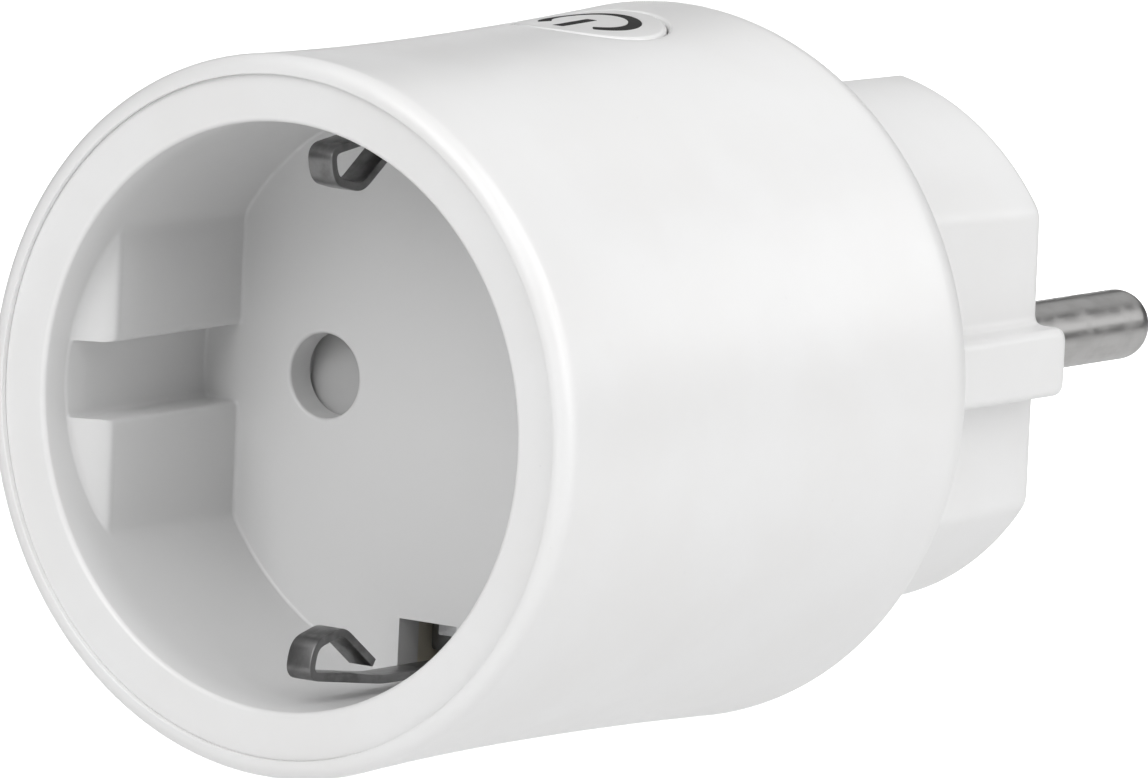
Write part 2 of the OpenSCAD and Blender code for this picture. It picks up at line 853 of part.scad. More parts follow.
module symbol_outline(grow) {
    r_out = symbol_r + grow;
    r_in = symbol_r - symbol_line - grow;
    half = symbol_gap_angle - grow * 12;
    far = symbol_r * 2;
    difference() {
        circle(r = r_out, $fn = MID);
        circle(r = r_in, $fn = MID);
        polygon([[0, 0], [-far * tan(half), -far], [far * tan(half), -far]]);
    }
    translate([-symbol_line / 2 - grow, -symbol_r - symbol_bar_over - grow])
        square([symbol_line + 2 * grow, symbol_r + symbol_bar_over + symbol_bar_in + 2 * grow]);
}

module power_button() {
    skin_z = body_r(button_y) - cap_skin - 0.5;
    color("white")
        difference() {
            union() {
                intersection() {
                    body_core(0);
                    translate([0, button_y, cap_base_z])
                        cylinder(r = button_r, h = waist_r, $fn = MID);
                }
                translate([0, button_y, cap_base_z])
                    cylinder(r = flange_ring_r, h = cap_ring_t, $fn = MID);
            }
            difference() {
                translate([0, button_y, cap_base_z - 1])
                    cylinder(r = cap_hollow_r, h = skin_z - cap_base_z + 1, $fn = MID);
                translate([0, button_y, cap_base_z])
                    cylinder(r = stem_r, h = waist_r, $fn = SMALL);
            }
            difference() {
                translate([0, button_y, skin_z])
                    linear_extrude(waist_r)
                        symbol_outline(0.02);
                body_core(symbol_depth + 0.02);
            }
        }
}

module power_symbol() {
    color("dimgray")
        difference() {
            intersection() {
                body_core(0);
                translate([0, button_y, waist_r / 2])
                    linear_extrude(waist_r)
                        symbol_outline(0);
            }
            body_core(symbol_depth);
        }
}

module switch_body() {
    z0 = small_board_z + small_board_t;
    w = switch_w / 2;
    color("black")
        difference() {
            block([-w, button_y - w, z0], [w, button_y + w, switch_top_z]);
            translate([0, button_y, switch_top_z - plunger_hole_depth])
                cylinder(r = plunger_r + 0.08, h = 2, $fn = SMALL);
        }
}

module switch_plunger() {
    z1 = cap_base_z - plunger_gap;
    color("gray")
        translate([0, button_y, switch_top_z - plunger_depth])
            cylinder(r = plunger_r, h = z1 - switch_top_z + plunger_depth, $fn = SMALL);
}

module status_led() {
    y0 = button_y + led_from_button;
    z0 = small_board_z + small_board_t;
    color("lightyellow")
        block([-led_size[0] / 2, y0, z0], [led_size[0] / 2, y0 + led_size[1], z0 + led_size[2]]);
}

module button_board() {
    color("darkgreen")
        difference() {
            block([-small_board_half_w, small_board_front_y, small_board_z],
                [small_board_half_w, small_board_rear_y, small_board_z + small_board_t]);
            both_sides()
                translate([small_screw_x, small_screw_y, small_board_z - 1])
                    cylinder(r = small_screw_r + board_hole_gap, h = 4, $fn = SMALL);
        }
}

module button_board_screws() {
    z = small_board_z + small_board_t;
    color("silver")
        both_sides()
            translate([small_screw_x, small_screw_y, 0]) {
                translate([0, 0, z - small_screw_len])
                    cylinder(r = small_screw_r, h = small_screw_len + small_head_h / 3, $fn = SMALL);
                translate([0, 0, z])
                    cylinder(r = small_head_r, h = small_head_h, $fn = SMALL);
            }
}

// Square header pins that lie on a small board and end flush with the rear side of the main board
module header_pins(places, z, y0) {
    for (x = places)
        block([x - header_w / 2, y0, z], [x + header_w / 2, board_y1, z + header_w]);
}

module button_header() {
    color("gold")
        header_pins(button_header_x, small_board_z + small_board_t, small_board_rear_y - 1.8);
}

// ---- Main board and what stands on it ----

module main_board() {
    tail_hole = 2 * [contact_tail_half_t + board_hole_gap, contact_tail_half_h + board_hole_gap];
    holes = concat(
        [for (x = header_x) [x, wifi_z + small_board_t + header_w / 2, header_hole_r]],
        [for (x = button_header_x) [x, small_board_z + small_board_t + header_w / 2, header_hole_r]],
        [for (p = board_posts) [p[0], p[1], post_screw_r + 0.2]],
        [for (s = [-1, 1]) [s * pin_pitch / 2, 0, tail_r + 0.1]],
        [for (p = relay_legs()) [p[0], p[1], leg_r + board_hole_gap]]);
    color("seagreen")
        difference() {
            slab(board_y0, board_y1)
                difference() {
                    circle(r = board_r, $fn = FINE);
                    both_outline_ends()
                        translate([-rail_w / 2 - loose_gap, rail_face - rail_t - 2 * loose_gap])
                            square([rail_w + 2 * loose_gap, 10]);
                    both_sides() {
                        translate([arm_x - loose_gap, -arm_half_w - loose_gap])
                            square([10, 2 * arm_half_w + 2 * loose_gap]);
                        translate([contact_tail_x - tail_hole[0] / 2, -tail_hole[1] / 2])
                            square(tail_hole);
                    }
                }
            for (h = holes)
                rod([h[0], h[1]], h[2], board_y0 - 1, board_y1 + 1);
        }
}

module main_board_screws() {
    color("silver")
        for (p = board_posts)
            translate([0, 2 * board_y0, 0])
                mirror([0, 1, 0])
                    pan_screw(p, post_screw_r, post_screw_head_r, post_screw_head_h, board_y0,
                        board_t + post_screw_depth);
}

function relay_legs() =
    let (dx = relay_w / 2 - leg_inset, dz = relay_h / 2 - leg_inset)
    [for (x = [-dx, dx]) for (z = [-dz, dz]) [x, relay_z + z]];

// A block that stands on the rear side of the main board
module standing_block(place, size) {
    block([place[0] - size[0] / 2, board_y1 + part_lift, place[1] - size[1] / 2],
        [place[0] + size[0] / 2, board_y1 + part_lift + size[2], place[1] + size[1] / 2]);
}

module relay() {
    color("black") {
        standing_block([0, relay_z], [relay_w, relay_h, relay_len]);
        for (p = relay_legs())
            rod(p, leg_r, board_y0 - leg_out, board_y1 + 1);
    }
}

// A turned part that stands on the board; its profile is [radius, height] points
module standing_turned(place, profile) {
    translate([place[0], board_y1 + part_lift, place[1]])
        turned(profile, MID);
}

module electrolytic_capacitors() {
    r = can_r;
    profile = [[0, 0], [r - 0.3, 0], [r, 0.3], [r, 1.3], [r - 0.35, 1.7], [r - 0.35, 2.1],
        [r, 2.5], [r, can_len - 0.4], [r - 0.4, can_len], [0, can_len]];
    color("midnightblue")
        for (p = can_places)
            standing_turned(p, profile);
}

module varistor() {
    r = varistor_r;
    color("royalblue")
        translate([varistor_place[0] - varistor_t / 2, board_y1 + part_lift + r, varistor_place[1]])
            rotate([0, 90, 0])
                cylinder(r = r, h = varistor_t, $fn = MID);
}

module fuse_resistor() {
    r = fuse_r;
    body = r - 0.25;
    profile = [[0, 0], [r - 0.2, 0], [r, 0.3], [r, 1.8], [body, 2.2], [body, fuse_len - 2.2],
        [r, fuse_len - 1.8], [r, fuse_len - 0.3], [r - 0.2, fuse_len], [0, fuse_len]];
    color("lightgreen")
        standing_turned(fuse_place, profile);
}

module inductor_core() {
    r = inductor_r;
    n = r - core_flange_w;
    t = core_flange_t;
    len = inductor_len;
    color("darkslategray")
        standing_turned(inductor_place, [[0, 0], [r, 0], [r, t], [n, t], [n, len - t],
            [r, len - t], [r, len], [0, len]]);
}

module inductor_winding() {
    r_in = inductor_r - core_flange_w + seat_gap;
    r_out = inductor_r - 5 * seat_gap;
    h0 = core_flange_t + seat_gap;
    h1 = inductor_len - h0;
    color("chocolate")
        standing_turned(inductor_place, [[r_in, h0], [r_out, h0], [r_out, h1], [r_in, h1]]);
}

module film_capacitor() {
    color("khaki")
        standing_block(film_place, film_size);
}

module rectifier() {
    color("black")
        standing_block(rectifier_place, rectifier_size);
}

module regulator() {
    color("black")
        standing_block(regulator_place, regulator_size);
}

// ---- Wireless board ----

module wifi_board() {
    color("navy")
        block([-wifi_half_w, wifi_front_y, wifi_z], [wifi_half_w, wifi_rear_y, wifi_z + small_board_t]);
}

module wifi_shield() {
    y1 = wifi_rear_y - 1;
    wall = shield_wall;
    color("silver")
        difference() {
            block([-shield_half_w, y1 - shield_len, wifi_z - shield_h], [shield_half_w, y1, wifi_z]);
            block([-shield_half_w + wall, y1 - shield_len + wall, wifi_z - shield_h + wall],
                [shield_half_w - wall, y1 - wall, wifi_z + 1]);
        }
}

// Folded track of the antenna on the free end of the board
module wifi_antenna() {
    track = 0.5;
    step = 1.6;
    count = 8;
    y0 = wifi_front_y + 0.6;
    y1 = y0 + 2.6;
    x0 = -count * step / 2;
    z0 = wifi_z - 0.12;
    color("gold")
        for (i = [0:count]) {
            x = x0 + i * step;
            block([x - track / 2, y0, z0], [x + track / 2, y1, wifi_z]);
            y = i % 2 == 0 ? y1 - track : y0;
            if (i < count)
                block([x - track / 2, y, z0], [x + step + track / 2, y + track, wifi_z]);
        }
}

module wifi_header() {
    color("gold")
        header_pins(header_x, wifi_z + small_board_t, wifi_rear_y - 1);
}

outer_sleeve();
socket_insert();
plug_base();
plug_pin_left();
plug_pin_right();
earth_rail_top();
earth_rail_bottom();
earth_bridge();
bridge_rivets();
earth_clip_top();
earth_clip_bottom();
contact_carrier();
contact_left();
contact_right();
carrier_screws();
shutter();
shutter_spring();
power_button();
power_symbol();
switch_body();
switch_plunger();
status_led();
button_board();
button_board_screws();
button_header();
main_board();
main_board_screws();
relay();
electrolytic_capacitors();
varistor();
fuse_resistor();
inductor_core();
inductor_winding();
film_capacitor();
rectifier();
regulator();
wifi_board();
wifi_shield();
wifi_antenna();
wifi_header();
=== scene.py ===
import json
import math

import bmesh
import bpy
import numpy as np
from mathutils import Matrix, Vector
from mathutils.geometry import delaunay_2d_cdt

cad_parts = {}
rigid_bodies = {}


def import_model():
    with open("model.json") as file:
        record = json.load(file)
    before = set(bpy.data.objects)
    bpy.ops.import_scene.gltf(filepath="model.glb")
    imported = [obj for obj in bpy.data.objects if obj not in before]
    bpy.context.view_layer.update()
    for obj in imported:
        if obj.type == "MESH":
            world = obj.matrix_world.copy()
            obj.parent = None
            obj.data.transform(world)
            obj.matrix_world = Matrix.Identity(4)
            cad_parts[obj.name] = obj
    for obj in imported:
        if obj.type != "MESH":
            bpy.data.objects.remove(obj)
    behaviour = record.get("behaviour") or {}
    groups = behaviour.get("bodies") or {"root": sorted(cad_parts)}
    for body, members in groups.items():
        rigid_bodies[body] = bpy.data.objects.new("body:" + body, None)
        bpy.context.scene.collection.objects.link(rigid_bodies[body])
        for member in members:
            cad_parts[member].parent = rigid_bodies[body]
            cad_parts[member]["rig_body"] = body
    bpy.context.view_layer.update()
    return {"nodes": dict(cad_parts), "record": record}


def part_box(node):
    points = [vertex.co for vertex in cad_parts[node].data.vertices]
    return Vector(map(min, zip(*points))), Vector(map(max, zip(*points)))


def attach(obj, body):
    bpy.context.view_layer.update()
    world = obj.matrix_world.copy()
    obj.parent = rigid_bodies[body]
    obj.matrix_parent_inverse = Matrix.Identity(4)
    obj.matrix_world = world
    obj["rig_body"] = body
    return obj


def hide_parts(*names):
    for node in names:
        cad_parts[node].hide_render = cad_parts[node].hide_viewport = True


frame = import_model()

MM = 0.001


# ---- Sizes in millimetres, taken from the frame where it has them ----

def low(node):
    """Lowest corner of a frame node, in millimetres."""
    return np.array(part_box(node)[0]) / MM


def high(node):
    """Highest corner of a frame node, in millimetres."""
    return np.array(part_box(node)[1]) / MM


FRONT_Y = low("outer_sleeve")[1]
REAR_Y = high("outer_sleeve")[1]
RING_Y = low("socket_insert")[1]
FLOOR_BACK_Y = high("socket_insert")[1]
SEAM_FILL = 0.13
RING_R = high("socket_insert")[0] + SEAM_FILL
PIN_X = (high("plug_pin_right")[0] + low("plug_pin_right")[0]) / 2
PIN_LEN = high("plug_pin_right")[1]
PIN_TAIL_Y = low("plug_pin_right")[1]
BUTTON_Y = (low("power_button")[1] + high("power_button")[1]) / 2
CAP_BASE_Z = low("power_button")[2]
ARM_Y = low("plug_base")[1]

WAIST_R = 23.6
WAIST_Y = REAR_Y - 28.6  # the narrowest place, nearer to the front
FRONT_FLARE = 0.4
REAR_FLARE = 0.55
WALL = 1.8
LIP_ROUND = 1.1
SHOULDER_ROUND = 3.7
LIP_W = 1.3
SEAM_EDGE = 0.08
OPENING_EDGE = 0.25
OPENING_GAP = 0.2
STEP_GAP = 0.05
RECESS_R = 19.5
FLOOR_T = 2.2
FLOOR_Y = FLOOR_BACK_Y - FLOOR_T
RING_T = 2.0
RECESS_WALL = 1.5
MOUTH_ROUND = 0.35
PAD_FACE = 16.6
PAD_Z = (2.6, 9.9)
PAD_START = 2.2
PAD_RAMP = 1.6
PAD_CORNER = 0.9
FLOOR_FILLET = 0.25
ENTRY_R = 2.85
ENTRY_EDGE = 0.25
SLOT_HALF_W = 2.45
SLOT_INNER = 15.4
BOSS_FACE_R = 18.3
BOSS_ROOT_R = 18.7
BOSS_ROUND = 1.2
FLAT_X = 15.4
RIB_X = 17.9
RIB_HALF_H = 2.35
BOSS_WALL = 2.0
BOSS_ROOT_Y = REAR_Y - 0.5
GROOVE_HALF_W = 3.4
GROOVE_Z = 15.75
GROOVE_END_Y = BOSS_ROOT_Y + 0.05
PIN_R = 2.4
PIN_ROUND = 1.9
SHANK_R = 2.1
SHANK_BORE_R = SHANK_R + 0.05
PIN_RELIEF = 0.3
COLLAR_R = 3.3
TAIL_R = 1.2
BUTTON_R = 5.15
BUTTON_GAP = 0.15
CAP_EDGE = 0.28
CAP_RING_R = 6.0
CAP_RING_T = 0.6
CAP_WALL = 0.8
CAP_SKIN = 1.9
CAP_STEM_R = 1.6
SYMBOL_R = 3.5
SYMBOL_LINE = 0.95
SYMBOL_DEPTH = 0.35
SYMBOL_SINK = 0.015
SYMBOL_PLAY = 0.02
SYMBOL_OPENING = math.radians(40)
CLIP_W = 2.0
CLIP_T = 0.6
CLIP_FOOT_Y = FLOOR_BACK_Y + 1.4
CLIP_LEG_Z = RECESS_R - 1
SCREW_X = PAD_FACE + 1.7
SCREW_Z = (PAD_Z[0] + PAD_Z[1]) / 2
SCREW_R = 1.0
SCREW_DEPTH = 8.5
RAIL_W = 4.2
RAIL_T = 0.8
RAIL_Z = high("earth_rail_top")[2] - RAIL_T / 2
RAIL_TAB = 1.5
RAIL_FRONT_Y = low("earth_rail_top")[1] + RAIL_TAB
RAIL_END_Y = high("earth_rail_top")[1]
BRIDGE_T = 0.6
BRIDGE_Y = high("earth_bridge")[1] - BRIDGE_T / 2

INNER_R = WAIST_R - WALL
FRONT_SHOULDER_Y = FRONT_Y + LIP_ROUND
REAR_SHOULDER_Y = REAR_Y - SHOULDER_ROUND
RING_BACK_Y = RING_Y + RING_T
FLANGE_Y1 = REAR_Y - WALL - 0.1
FLANGE_Y0 = FLANGE_Y1 - 1.8
FLANGE_R = INNER_R - 1.6
BOARD_POST_R = 18.1


def body_r(y):
    """Radius of the body at level y: the waist radius plus a square law that is zero at the waist."""
    front = FRONT_FLARE * ((y - WAIST_Y) / (FRONT_SHOULDER_Y - WAIST_Y)) ** 2
    rear = REAR_FLARE * ((y - WAIST_Y) / (REAR_SHOULDER_Y - WAIST_Y)) ** 2
    return WAIST_R + np.where(y < WAIST_Y, front, rear)


def body_top(flat, inset=0.0):
    """Height of the body's surface, less an inset of its radius, over points in X and Y."""
    return np.sqrt((body_r(flat[:, 1]) - inset) ** 2 - flat[:, 0] ** 2)


# ---- Curves ----

def arc(centre, r, a0, a1, n):
    """n + 1 points of a circle about centre, from the angle a0 to a1 in degrees."""
    a = np.radians(np.linspace(a0, a1, n + 1))
    return np.c_[centre[0] + r * np.cos(a), centre[1] + r * np.sin(a)]


def ring_loop(r, n, centre=(0.0, 0.0)):
    """n points of a closed circle in X and Z."""
    a = np.linspace(0, 2 * math.pi, n, endpoint=False)
    return np.c_[centre[0] + r * np.cos(a), centre[1] + r * np.sin(a)]


def sample(corners, counts):
    """Each straight stretch between two corners cut into its own number of equal steps."""
    parts = [a + (b - a) * np.linspace(0, 1, n, endpoint=False)[:, None]
             for a, b, n in zip(corners[:-1], corners[1:], counts)]
    return np.vstack(parts + [corners[-1:]])


def soften(points, window, closed=False):
    """Rounds a path: each point becomes the mean of the path over a window of its own length.
    The mean is the difference of the path's running integral at the window's two ends."""
    if closed:
        n = len(points)
        tile = np.vstack([points, points, points, points[:1]])
        w = np.concatenate([np.broadcast_to(window, n)] * 3)
    else:
        tile, w = points, np.broadcast_to(window, len(points))
    s = np.r_[0, np.cumsum(np.linalg.norm(np.diff(tile, axis=0), axis=1))]
    mid = (tile[1:] + tile[:-1]) / 2 * np.diff(s)[:, None]
    integral = np.vstack([np.zeros(tile.shape[1]), np.cumsum(mid, axis=0)])
    place = s[:len(w)]
    half = np.minimum(w / 2, np.minimum(place, s[-1] - place))
    ends = [np.stack([np.interp(place + k * half, s, integral[:, c])
                      for c in range(tile.shape[1])], 1) for k in (1, -1)]
    still = (half < 1e-4)[:, None]
    out = np.where(still, tile[:len(w)], (ends[0] - ends[1]) / (2 * np.maximum(half, 1e-9))[:, None])
    return out[n:2 * n] if closed else out


def smooth_max(a, b, width):
    """The larger of two values, with a rounded change-over of the given width."""
    h = np.clip(0.5 + 0.5 * (a - b) / width, 0, 1)
    return b + (a - b) * h + width * h * (1 - h)


def inward_normals(loop):
    """Unit normals into a closed loop, from its neighbours' difference and the sign of its area."""
    d = np.roll(loop, -1, 0) - np.roll(loop, 1, 0)
    d /= np.linalg.norm(d, axis=1)[:, None]
    area = np.sum(loop[:, 0] * np.roll(loop[:, 1], -1) - np.roll(loop[:, 0], -1) * loop[:, 1])
    return np.c_[-d[:, 1], d[:, 0]] * np.sign(area)


def mirrored(quarter):
    """A closed loop from its upper right quarter, mirrored to the left and then downwards."""
    half = np.vstack([quarter[:-1], (quarter * [-1, 1])[::-1][:-1]])
    left = np.array([[-half[0, 0], 0.0]])
    return np.vstack([half, left, (half[1:] * [1, -1])[::-1]])


def edge_steps(r, n):
    """Quarter round of radius r as n + 1 steps of [how far in, how far along]."""
    a = np.linspace(0, math.pi / 2, n + 1)
    return np.c_[r * (1 - np.cos(a)), r * np.sin(a)]


def slab(outline, half_thick, edge, lift):
    """Rings of a flat plate with rounded edges, from one face to the other; lift places each at its level."""
    inward = inward_normals(outline)
    steps = edge_steps(edge, 3)
    return [lift(outline + inward * step, side * (half_thick - edge + along))
            for side, order in ((-1, steps[::-1]), (1, steps)) for step, along in order]


# ---- Meshes ----

def at_y(loop, y):
    """A loop in X and Z at one level of Y."""
    return np.c_[loop[:, 0], np.full(len(loop), y), loop[:, 1]]


def at_z(loop, z):
    """A loop in X and Y at one level of Z."""
    return np.c_[loop[:, 0], loop[:, 1], np.broadcast_to(z, len(loop))]


def inside(points, loops):
    """Even-odd test: true where a ray from the point crosses the loops an odd number of times."""
    odd = np.zeros(len(points), bool)
    for loop in loops:
        a, b = loop, np.roll(loop, -1, 0)
        for k in range(len(a)):
            spans = (a[k, 1] > points[:, 1]) != (b[k, 1] > points[:, 1])
            with np.errstate(divide="ignore", invalid="ignore"):
                x = (b[k, 0] - a[k, 0]) * (points[:, 1] - a[k, 1]) / (b[k, 1] - a[k, 1]) + a[k, 0]
            odd ^= spans & (points[:, 0] < x)
    return odd


class Shell:
    """Collects the surfaces of one piece and joins them into one closed mesh."""

    def __init__(self):
        self.points = []
        self.faces = []
        self.count = 0

    def add(self, points, faces):
        """Points, and faces that count them from 0."""
        self.points.append(np.asarray(points, float).reshape(-1, 3))
        self.faces += [tuple(int(i) + self.count for i in f) for f in faces]
        self.count += len(self.points[-1])

    def grid(self, surface, wrap_u=False, wrap_v=False, keep=None):
        """A grid of points P[u, v] as quads, closed round in u or v if asked."""
        nu, nv = surface.shape[:2]
        u, v = np.meshgrid(np.arange(nu if wrap_u else nu - 1), np.arange(nv if wrap_v else nv - 1),
                           indexing="ij")
        if keep is not None:
            u, v = u[keep], v[keep]
        u, v = u.ravel(), v.ravel()
        u1, v1 = (u + 1) % nu, (v + 1) % nv
        quads = np.stack([u * nv + v, u1 * nv + v, u1 * nv + v1, u * nv + v1], 1)
        self.add(surface, quads)

    def rings(self, *loops):
        """Closed loops of equal length, each joined to the next."""
        self.grid(np.stack(loops), wrap_v=True)

    def turned(self, profile, n, centre, wrap=False):
        """A profile of [radius, y] points turned about an axis along Y: x = r cos a, z = r sin a."""
        profile = np.asarray(profile, float)
        a = np.linspace(0, 2 * math.pi, n, endpoint=False)
        r, y = profile[:, 0, None], profile[:, 1, None]
        surface = np.stack([centre[0] + r * np.cos(a), y + 0 * a, centre[1] + r * np.sin(a)], 2)
        self.grid(surface, wrap_u=wrap, wrap_v=True)

    def flat(self, loops, lift, extra=None):
        """Fills the area between loops with triangles; lift turns its flat points into 3-D ones."""
        points = np.vstack(loops + ([extra] if extra is not None else []))
        edges, start = [], 0
        for loop in loops:
            k = np.arange(len(loop))
            edges += [(int(a), int(b)) for a, b in zip(start + k, start + (k + 1) % len(loop))]
            start += len(loop)
        found = delaunay_2d_cdt([Vector(p) for p in points], edges, [], 0, 1e-7)
        where = np.array([tuple(p) for p in found[0]])
        tris = np.array([f for f in found[2] if len(f) == 3])
        tris = tris[inside(where[tris].mean(1), loops)]
        self.add(lift(where), tris)

    def build(self, name, material, body, replaces=()):
        """Merges equal points and gives the piece its place in the frame."""
        mesh = bpy.data.meshes.new(name)
        mesh.from_pydata((np.vstack(self.points) * MM).tolist(), [], self.faces)
        bm = bmesh.new()
        bm.from_mesh(mesh)
        bmesh.ops.remove_doubles(bm, verts=bm.verts, dist=2e-6)
        bmesh.ops.dissolve_degenerate(bm, dist=1e-7, edges=bm.edges)
        write_mesh(bm, mesh, 40)
        return place_piece(name, mesh, material, body, replaces)


def write_mesh(bm, mesh, sharp_angle):
    """Turns the normals outwards, shades every face smooth up to the sharp edges, and fills the mesh."""
    bmesh.ops.recalc_face_normals(bm, faces=bm.faces)
    for f in bm.faces:
        f.smooth = True
    for e in bm.edges:
        e.smooth = len(e.link_faces) == 2 and e.calc_face_angle(0) < math.radians(sharp_angle)
    open_edges = sum(1 for e in bm.edges if len(e.link_faces) != 2)
    bm.to_mesh(mesh)
    bm.free()
    print(f"piece {mesh.name}: {len(mesh.polygons)} faces, {open_edges} open edges")


def place_piece(name, mesh, material, body, replaces):
    """Makes one piece of a mesh, on its body and the frame nodes that it stands for."""
    mesh.materials.clear()
    mesh.materials.append(material)
    piece = bpy.data.objects.new(name, mesh)
    bpy.context.scene.collection.objects.link(piece)
    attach(piece, body)
    if replaces:
        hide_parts(*replaces)
    return piece


# ---- Shader maths ----

class Value:
    """A socket or a number that adds Math nodes when it is used in an expression."""

    def __init__(self, graph, socket):
        self.graph = graph
        self.socket = socket

    def math(self, operation, *others):
        """One Math node with this value first."""
        values = {0: self.socket}
        for i, other in enumerate(others):
            values[i + 1] = other.socket if isinstance(other, Value) else other
        return Value(self.graph, self.graph.node("ShaderNodeMath", values, operation=operation).outputs[0])

    def reflected(self, operation, other):
        """One Math node with a plain number first and this value second."""
        node = self.graph.node("ShaderNodeMath", {0: other, 1: self.socket}, operation=operation)
        return Value(self.graph, node.outputs[0])

    def __add__(self, other):
        return self.math("ADD", other)

    def __radd__(self, other):
        return self.math("ADD", other)

    def __sub__(self, other):
        return self.math("SUBTRACT", other)

    def __rsub__(self, other):
        return self.reflected("SUBTRACT", other)

    def __mul__(self, other):
        return self.math("MULTIPLY", other)

    def __rmul__(self, other):
        return self.math("MULTIPLY", other)

    def clamp(self):
        node = self.graph.node("ShaderNodeClamp", {"Value": self.socket})
        return Value(self.graph, node.outputs[0])

    def band(self, start, end):
        """0 below start, 1 above end and a smooth change between them."""
        node = self.graph.node("ShaderNodeMapRange", {"Value": self.socket, "From Min": start,
                               "From Max": end}, interpolation_type="SMOOTHSTEP")
        return Value(self.graph, node.outputs["Result"])


class Finish:
    """One material: a Principled shader and the nodes that vary it over the surface."""

    def __init__(self, name, **constants):
        self.material = bpy.data.materials.new(name)
        self.material.use_nodes = True
        self.nodes = self.material.node_tree.nodes
        self.links = self.material.node_tree.links
        self.shader = self.nodes["Principled BSDF"]
        for socket, value in constants.items():
            self.shader.inputs[socket.replace("_", " ")].default_value = value
        self.place = self.node("ShaderNodeTexCoord").outputs["Object"]

    def node(self, kind, values=None, **settings):
        """Adds a node, sets its options, and links or sets its inputs."""
        made = self.nodes.new(kind)
        for key, value in settings.items():
            setattr(made, key, value)
        for key, value in (values or {}).items():
            if isinstance(value, Value):
                value = value.socket
            if isinstance(value, bpy.types.NodeSocket):
                self.links.new(value, made.inputs[key])
            else:
                made.inputs[key].default_value = value
        return made

    def stretched(self, scale, centre=(0.0, 0.0, 0.0)):
        """Object coordinates moved to a centre and scaled along each axis."""
        moved = self.node("ShaderNodeMapping", {"Vector": self.place, "Location": [-c * s * MM
                          for c, s in zip(centre, scale)], "Scale": scale})
        return moved.outputs[0]

    def noise(self, size_mm, detail=3.0, roughness=0.5, vector=None):
        """Noise whose features are about size_mm across, from 0 to 1."""
        scale = 1.0 if vector is not None else 1 / (size_mm * MM)
        made = self.node("ShaderNodeTexNoise", {"Vector": vector or self.place, "Scale": scale,
                         "Detail": detail, "Roughness": roughness})
        return Value(self, made.outputs["Fac"])

    def specks(self, size_mm, randomness=1.0):
        """Distance to the nearest of scattered points about size_mm apart."""
        made = self.node("ShaderNodeTexVoronoi", {"Vector": self.place, "Scale": 1 / (size_mm * MM),
                         "Randomness": randomness})
        return Value(self, made.outputs["Distance"])

    def axis(self, name):
        """One Object coordinate, in millimetres."""
        split = self.node("ShaderNodeSeparateXYZ", {0: self.place})
        return Value(self, split.outputs[name]) * (1 / MM)

    def worn_edges(self, low_end=0.53, high_end=0.62):
        """1 on outer edges and 0 elsewhere, from the surface's own pointedness."""
        return Value(self, self.node("ShaderNodeNewGeometry").outputs["Pointiness"]).band(low_end, high_end)

    def mix(self, mask, first, second):
        """A colour between two colours, or links that carry colours."""
        made = self.node("ShaderNodeMix", {0: mask}, data_type="RGBA")
        for index, colour in ((6, first), (7, second)):
            if isinstance(colour, bpy.types.NodeSocket):
                self.links.new(colour, made.inputs[index])
            else:
                made.inputs[index].default_value = (*colour, 1.0)
        return made.outputs[2]

    def colour(self, socket):
        self.links.new(socket, self.shader.inputs["Base Color"])

    def roughness(self, value):
        self.links.new(value.clamp().socket, self.shader.inputs["Roughness"])

    def bump(self, height, depth_mm, strength=1.0):
        """Relief whose full range is depth_mm deep."""
        made = self.node("ShaderNodeBump", {"Height": height, "Distance": depth_mm * MM,
                         "Strength": strength})
        self.links.new(made.outputs[0], self.shader.inputs["Normal"])


def grey(value, warm=0.0):
    """A grey with a little warmth."""
    return (value * (1 + warm), value, value * (1 - warm))


# ---- Finishes ----

def painted_recess_shade(f):
    """Mask for painted shade: 1 in the socket's recess and 0 outside it, from the distance to the Y axis and
    the depth.
    """
    x, y, z = f.axis("X"), f.axis("Y"), f.axis("Z")
    beyond_wall = (x * x + z * z).math("SQRT").band(RECESS_R + 0.1, RECESS_R + 0.7)
    behind_rim = y.band(FRONT_Y + 0.5, FRONT_Y + 4.0)
    near_plug = y.band(-24.0, -20.0)
    return (1 - beyond_wall) * behind_rim * (1 - near_plug)


def moulded_plastic(name, base, shade, rough, texture_mm=0.16, relief_mm=0.004, inside=0.0, **constants):
    """Moulded plastic: slow cloudiness in its colour, a fine spark-eroded texture and handling marks.
    With `inside`, the socket's recess is painted that much greyer than the outside, as painted shade in the
    recess."""
    f = Finish(name, **constants)
    cloud = f.noise(9.0, 4.0)
    dust = f.specks(1.1).band(0.10, 0.02) * f.noise(4.0).band(0.52, 0.66)
    ground = f.mix(cloud.band(0.3, 0.7), base, shade)
    # Painted shade: with `inside`, the base colour in the recess is darkened towards a greyer white
    if inside:
        ground = f.mix(painted_recess_shade(f), ground, tuple(c * (1 - inside) for c in base))
    f.colour(f.mix(dust * 0.35, ground, tuple(c * 0.8 for c in base)))
    handled = f.noise(5.0, 5.0, 0.6).band(0.42, 0.7)
    f.roughness(handled * 0.07 + f.noise(0.5) * 0.05 + (rough - 0.06))
    f.bump(f.noise(texture_mm, 2.0) * 0.7 + f.noise(3.5) * 0.3, relief_mm)
    return f.material


def drawn_metal(name, base, dark, rough, scale, marks=0.5, relief_mm=0.003):
    """Metal with fine lines along one way, dull patches and brighter worn edges."""
    f = Finish(name, Metallic=1.0)
    lines = f.noise(1.0, 4.0, 0.65, f.stretched(scale))
    patches = f.noise(1.6, 4.0).band(0.42, 0.68)
    body = f.mix((patches * marks + lines * 0.35).clamp(), base, dark)
    f.colour(f.mix(f.worn_edges() * 0.5, body, tuple(min(1.0, c * 1.25) for c in base)))
    f.roughness(lines * 0.16 + patches * 0.12 + (rough - 0.1))
    f.bump(lines, relief_mm)
    return f.material


